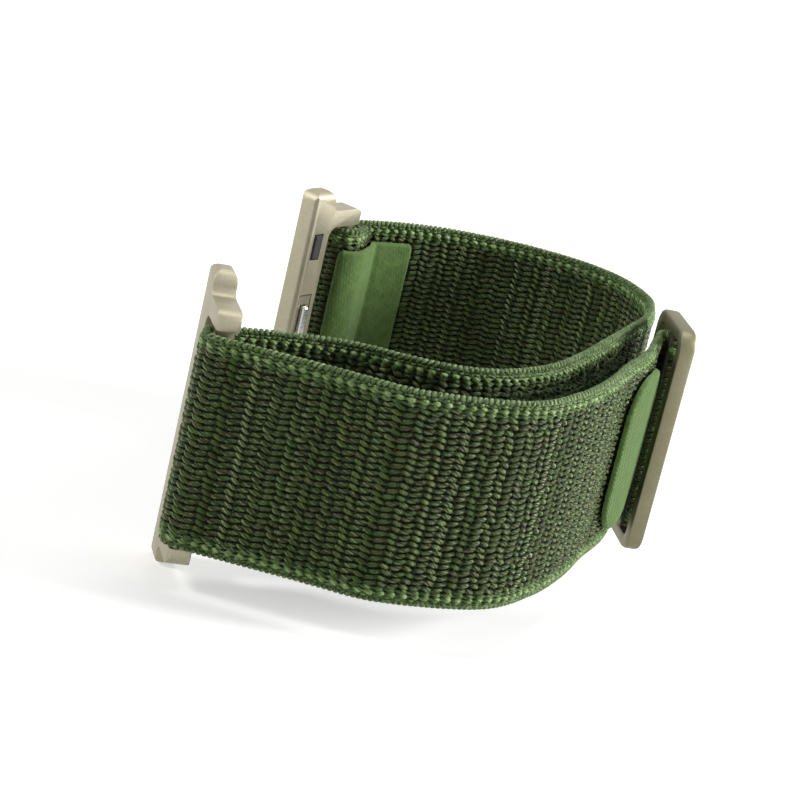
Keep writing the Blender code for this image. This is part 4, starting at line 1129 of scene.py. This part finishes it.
def champagne_finish(name, colour, worn):
    """Coated blasted steel: a satin gloss with fine grit, brighter where use has polished it."""
    made, tree, shader = finish_named(name)
    place = add(tree, "ShaderNodeTexCoord")
    grit = add(tree, "ShaderNodeTexNoise", {"Vector": place.outputs["Object"], "Scale": 1.0 / GRIT, "Detail": 2.0,
                                            "Roughness": 0.7})
    cloud = add(tree, "ShaderNodeTexNoise", {"Vector": place.outputs["Object"], "Scale": 1.0 / WEAR_PATCH,
                                             "Detail": 3.0})
    wear = add(tree, "ShaderNodeMapRange", {"Value": cloud.outputs["Fac"], "From Min": 0.45, "From Max": 0.75,
                                            "To Max": WEAR_SHARE})
    specks = add(tree, "ShaderNodeMapRange", {"Value": grit.outputs["Fac"], "From Min": 0.3, "From Max": 0.7,
                                              "To Min": 0.88, "To Max": 1.1})
    base = add(tree, "ShaderNodeMix", {0: wear.outputs["Result"], 6: colour, 7: worn}, **BLENDED)
    coat = add(tree, "ShaderNodeMix", {0: 1.0, 6: base.outputs[2], 7: specks.outputs["Result"]}, **MULTIPLIED)
    tree.links.new(coat.outputs[2], shader.inputs["Base Color"])
    gloss = add(tree, "ShaderNodeMapRange", {"Value": cloud.outputs["Fac"], "From Min": 0.3, "From Max": 0.7,
                                             "To Min": STEEL_ROUGHNESS[0], "To Max": STEEL_ROUGHNESS[1]})
    tree.links.new(gloss.outputs["Result"], shader.inputs["Roughness"])
    bump = add(tree, "ShaderNodeBump", {"Height": grit.outputs["Fac"], "Strength": 0.6, "Distance": 0.04 * MM})
    tree.links.new(bump.outputs["Normal"], shader.inputs["Normal"])
    shader.inputs["Metallic"].default_value = 1.0
    return made


CONNECTOR_STEEL = champagne_finish("bead_blasted_champagne_steel", CHAMPAGNE, CHAMPAGNE_WORN)
BUCKLE_STEEL = champagne_finish("bead_blasted_dark_champagne_steel", BUCKLE_CHAMPAGNE, BUCKLE_WORN)
print("made", CONNECTOR_STEEL.name, BUCKLE_STEEL.name)

# %% Softened copies of the metal parts
EDGE_BREAK = 0.14 * MM
BUCKLE_EDGE_BREAK = 0.35 * MM
MERGE_REACH = 0.002 * MM
FLAT_ANGLE = math.radians(1)         # faces that differ by less are one flat face
SHARP_ANGLE = math.radians(32)       # edges sharper than this are broken
SMOOTH_ANGLE = math.radians(28)


def softened(node, name, body, finish, width):
    """A merged copy of a CAD node with its sharp edges broken, standing in for it."""
    bpy.ops.object.select_all(action="DESELECT")
    piece = frame["nodes"][node].copy()
    piece.data = piece.data.copy()
    piece.name = piece.data.name = name
    bpy.context.scene.collection.objects.link(piece)
    piece.parent = None
    piece.matrix_world = Matrix.Identity(4)
    piece.select_set(True)
    bpy.context.view_layer.objects.active = piece
    bpy.ops.object.mode_set(mode="EDIT")
    bpy.ops.mesh.select_all(action="SELECT")
    bpy.ops.mesh.remove_doubles(threshold=MERGE_REACH)
    bpy.ops.mesh.dissolve_limited(angle_limit=FLAT_ANGLE)
    bpy.ops.object.mode_set(mode="OBJECT")
    bevel = piece.modifiers.new("broken_edges", "BEVEL")
    bevel.width = width
    bevel.segments = 3
    bevel.limit_method = "ANGLE"
    bevel.angle_limit = SHARP_ANGLE
    bpy.ops.object.modifier_apply(modifier=bevel.name)
    bpy.ops.object.shade_smooth_by_angle(angle=SMOOTH_ANGLE)
    piece.data.materials.clear()
    piece.data.materials.append(finish)
    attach(piece, body)
    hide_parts(node)
    return piece


METAL = [softened(node, f"{node}_blasted", body, finish, width)
         for node, body, finish, width in (
             ("near_connector_frame", "near_connector", CONNECTOR_STEEL, EDGE_BREAK),
             ("far_connector_frame", "far_connector", CONNECTOR_STEEL, EDGE_BREAK),
             ("buckle_frame", "buckle", BUCKLE_STEEL, BUCKLE_EDGE_BREAK))]
print("triangles", [triangles(piece) for piece in METAL])

# %% [markdown]
# ## Small parts of the connectors
# Each connector carries a sprung latch: a plunger that snaps into a notch, a spring under it, a retainer plate
# and two rubber friction pads. Their CAD shapes are right, so they stay and only get finishes: milled stainless
# steel with fine marks for the plunger, bright rolled steel for the leaf spring, brushed steel for the retainer
# and moulded rubber for the pads. One flat grey would do for parts this small, but they show in a close view, and
# the marks' direction tells how each was made.

# %% Stainless steel
MARK_DEPTH = 0.01 * MM
MARK_GLOSS = 0.08            # how much the marks change the roughness


def steel_finish(name, colour, rough, stretch):
    """Stainless steel with fine machining marks; stretch gives the marks' size in mm along X, Y and Z."""
    made, tree, shader = finish_named(name)
    place = add(tree, "ShaderNodeTexCoord")
    scaled = add(tree, "ShaderNodeMapping", {"Vector": place.outputs["Object"],
                                             "Scale": tuple(1.0 / (size * MM) for size in stretch)})
    marks = add(tree, "ShaderNodeTexNoise", {"Vector": scaled.outputs["Vector"], "Scale": 1.0, "Detail": 2.0})
    shade = add(tree, "ShaderNodeMapRange", {"Value": marks.outputs["Fac"], "To Min": 0.8, "To Max": 1.15})
    metal = add(tree, "ShaderNodeMix", {0: 1.0, 6: linear(colour), 7: shade.outputs["Result"]}, **MULTIPLIED)
    tree.links.new(metal.outputs[2], shader.inputs["Base Color"])
    gloss = add(tree, "ShaderNodeMapRange", {"Value": marks.outputs["Fac"], "To Min": rough - MARK_GLOSS,
                                             "To Max": rough + MARK_GLOSS})
    tree.links.new(gloss.outputs["Result"], shader.inputs["Roughness"])
    bump = add(tree, "ShaderNodeBump", {"Height": marks.outputs["Fac"], "Strength": 0.4, "Distance": MARK_DEPTH})
    tree.links.new(bump.outputs["Normal"], shader.inputs["Normal"])
    shader.inputs["Metallic"].default_value = 1.0
    return made


MILLED = steel_finish("milled_stainless_steel", "#c9c8c4", 0.28, (2.0, 2.0, 0.12))
SPRING = steel_finish("rolled_spring_steel", "#bdbdc0", 0.25, (0.2, 0.2, 1.5))
PLATE = steel_finish("brushed_stainless_steel", "#c4bda9", 0.35, (0.15, 0.15, 3.0))
print("made", MILLED.name, SPRING.name, PLATE.name)

# %% Rubber
RUBBER_DARK = linear("#191919")
RUBBER_LIGHT = linear("#2a2a2a")
RUBBER_GRAIN = 0.12 * MM


def rubber_finish():
    """Dull black rubber with the fine grain of its mould."""
    made, tree, shader = finish_named("moulded_black_rubber")
    place = add(tree, "ShaderNodeTexCoord")
    grain = add(tree, "ShaderNodeTexNoise", {"Vector": place.outputs["Object"], "Scale": 1.0 / RUBBER_GRAIN,
                                             "Detail": 2.0})
    colour = add(tree, "ShaderNodeMix", {0: grain.outputs["Fac"], 6: RUBBER_DARK, 7: RUBBER_LIGHT}, **BLENDED)
    tree.links.new(colour.outputs[2], shader.inputs["Base Color"])
    bump = add(tree, "ShaderNodeBump", {"Height": grain.outputs["Fac"], "Strength": 0.5, "Distance": 0.02 * MM})
    tree.links.new(bump.outputs["Normal"], shader.inputs["Normal"])
    shader.inputs["Roughness"].default_value = 0.7
    shader.inputs["IOR"].default_value = 1.52
    return made


RUBBER = rubber_finish()
print("made", RUBBER.name)

# %% Finishes on the small parts
NODE_FINISHES = {"latch_plunger": MILLED, "latch_spring": SPRING, "latch_retainer": PLATE,
                 "friction_pad_upper": RUBBER, "friction_pad_lower": RUBBER}
for side in ("near", "far"):
    for part, finish in NODE_FINISHES.items():
        for place in frame["nodes"][f"{side}_{part}"].material_slots:
            place.material = finish
print("finished nodes", 2 * len(NODE_FINISHES))

# %% [markdown]
# ## Floor, light and camera
# A plain pale floor, a white surround and three soft lamps. More light would whiten the floor too, but it would
# also bleach the strap, so the floor and the surround glow for the camera and for mirroring metal only. The lamps
# light the floor's middle, so farther out it glows more and stays white. The camera stands where the photograph's
# camera stood, a little above the strap, and is rolled so that upright lines lean to the right.

# %% Floor and surround
FLOOR_SIZE = 6.0
FLOOR_GLOW_REACH = (0.15, 0.7)       # m from the middle: the glow grows from the first distance to the second
FLOOR_GLOW = (0.5, 1.0)
SURROUND_LIGHT = 0.09        # what the white surround adds to the lamps' light


def seen_or_mirrored(tree):
    """1 for what the camera sees directly or mirrored in metal, 0 for light that falls on the strap."""
    path = add(tree, "ShaderNodeLightPath")
    either = add(tree, "ShaderNodeMath", {0: path.outputs["Is Camera Ray"], 1: path.outputs["Is Glossy Ray"]},
                 operation="MAXIMUM")
    return add(tree, "ShaderNodeMath", {0: either.outputs[0], 1: path.outputs["Is Transmission Ray"]},
               operation="MAXIMUM").outputs[0]


def floor_finish():
    """Matt white paper that glows for the camera, so that it stays white under little light."""
    made, tree, shader = finish_named("white_paper_floor")
    shader.inputs["Base Color"].default_value = linear("#e8e8e6")
    shader.inputs["Roughness"].default_value = 0.9
    place = add(tree, "ShaderNodeTexCoord")
    centre_out = add(tree, "ShaderNodeVectorMath", {0: place.outputs["Object"]}, operation="LENGTH")
    whiter = add(tree, "ShaderNodeMapRange", {
        "Value": centre_out.outputs["Value"], "From Min": FLOOR_GLOW_REACH[0], "From Max": FLOOR_GLOW_REACH[1],
        "To Min": FLOOR_GLOW[0], "To Max": FLOOR_GLOW[1]})
    glow = add(tree, "ShaderNodeEmission", {"Strength": whiter.outputs["Result"]})
    both = add(tree, "ShaderNodeAddShader", {0: shader.outputs[0], 1: glow.outputs[0]})
    pick = add(tree, "ShaderNodeMixShader", {0: seen_or_mirrored(tree), 1: shader.outputs[0], 2: both.outputs[0]})
    tree.links.new(pick.outputs[0], tree.nodes["Material Output"].inputs["Surface"])
    return made


bpy.ops.mesh.primitive_plane_add(size=FLOOR_SIZE, location=(0, 0, 0))
floor = bpy.context.object
floor.name = "floor"
floor.data.materials.append(floor_finish())

world = bpy.data.worlds.new("white_surround")
bpy.context.scene.world = world
world.use_nodes = True
tree = world.node_tree
tree.nodes["Background"].inputs["Color"].default_value = linear("#ffffff")
level = add(tree, "ShaderNodeMapRange", {"Value": seen_or_mirrored(tree), "To Min": SURROUND_LIGHT, "To Max": 1.0})
tree.links.new(level.outputs["Result"], tree.nodes["Background"].inputs["Strength"])
print("floor", FLOOR_SIZE, "m wide")

# %% Lamps
STRAP_MIDDLE = Vector((0.0, 0.0, 0.017))


def lamp(name, place, size, power):
    """A soft lamp aimed at the strap, with its place and size in m and its power in W."""
    light = bpy.data.lights.new(name, "AREA")
    light.shape = "RECTANGLE"
    light.size, light.size_y = size
    light.energy = power
    made = bpy.data.objects.new(name, light)
    bpy.context.scene.collection.objects.link(made)
    made.location = place
    made.rotation_euler = (STRAP_MIDDLE - Vector(place)).to_track_quat("-Z", "Y").to_euler()
    return made


LAMPS = (lamp("key_right", (0.52, 0.14, 0.20), (0.13, 0.18), 3.8),
         lamp("fill_left", (-0.45, -0.20, 0.34), (0.12, 0.12), 1.35),
         lamp("top", (0.05, 0.10, 0.60), (0.25, 0.25), 0.95))
print("lamps", [made.name for made in LAMPS])

# %% Camera
CAMERA_PLACE = Vector((0.0347, -0.2859, 0.1112))
CAMERA_AIM = Vector((-0.0054, -0.0038, 0.0173))
CAMERA_ROLL = math.radians(13.5)
CAMERA_LENS = 118.2          # mm, on a sensor 36 mm wide
camera_data = bpy.data.cameras.new("camera")
camera_data.lens = CAMERA_LENS
camera_data.sensor_width = 36.0
camera_data.clip_start = 0.01
camera_data.clip_end = 20.0
camera = bpy.data.objects.new("camera", camera_data)
bpy.context.scene.collection.objects.link(camera)
forward = (CAMERA_AIM - CAMERA_PLACE).normalized()
level_right = forward.cross(Vector((0, 0, 1))).normalized()
level_up = level_right.cross(forward)
right = level_right * math.cos(CAMERA_ROLL) + level_up * math.sin(CAMERA_ROLL)
up = level_up * math.cos(CAMERA_ROLL) - level_right * math.sin(CAMERA_ROLL)
turn = Matrix((right, up, -forward)).transposed().to_4x4()
camera.matrix_world = Matrix.Translation(CAMERA_PLACE) @ turn
bpy.context.scene.camera = camera
bpy.context.scene.view_settings.view_transform = "Standard"
print("camera at", tuple(round(c, 4) for c in CAMERA_PLACE))
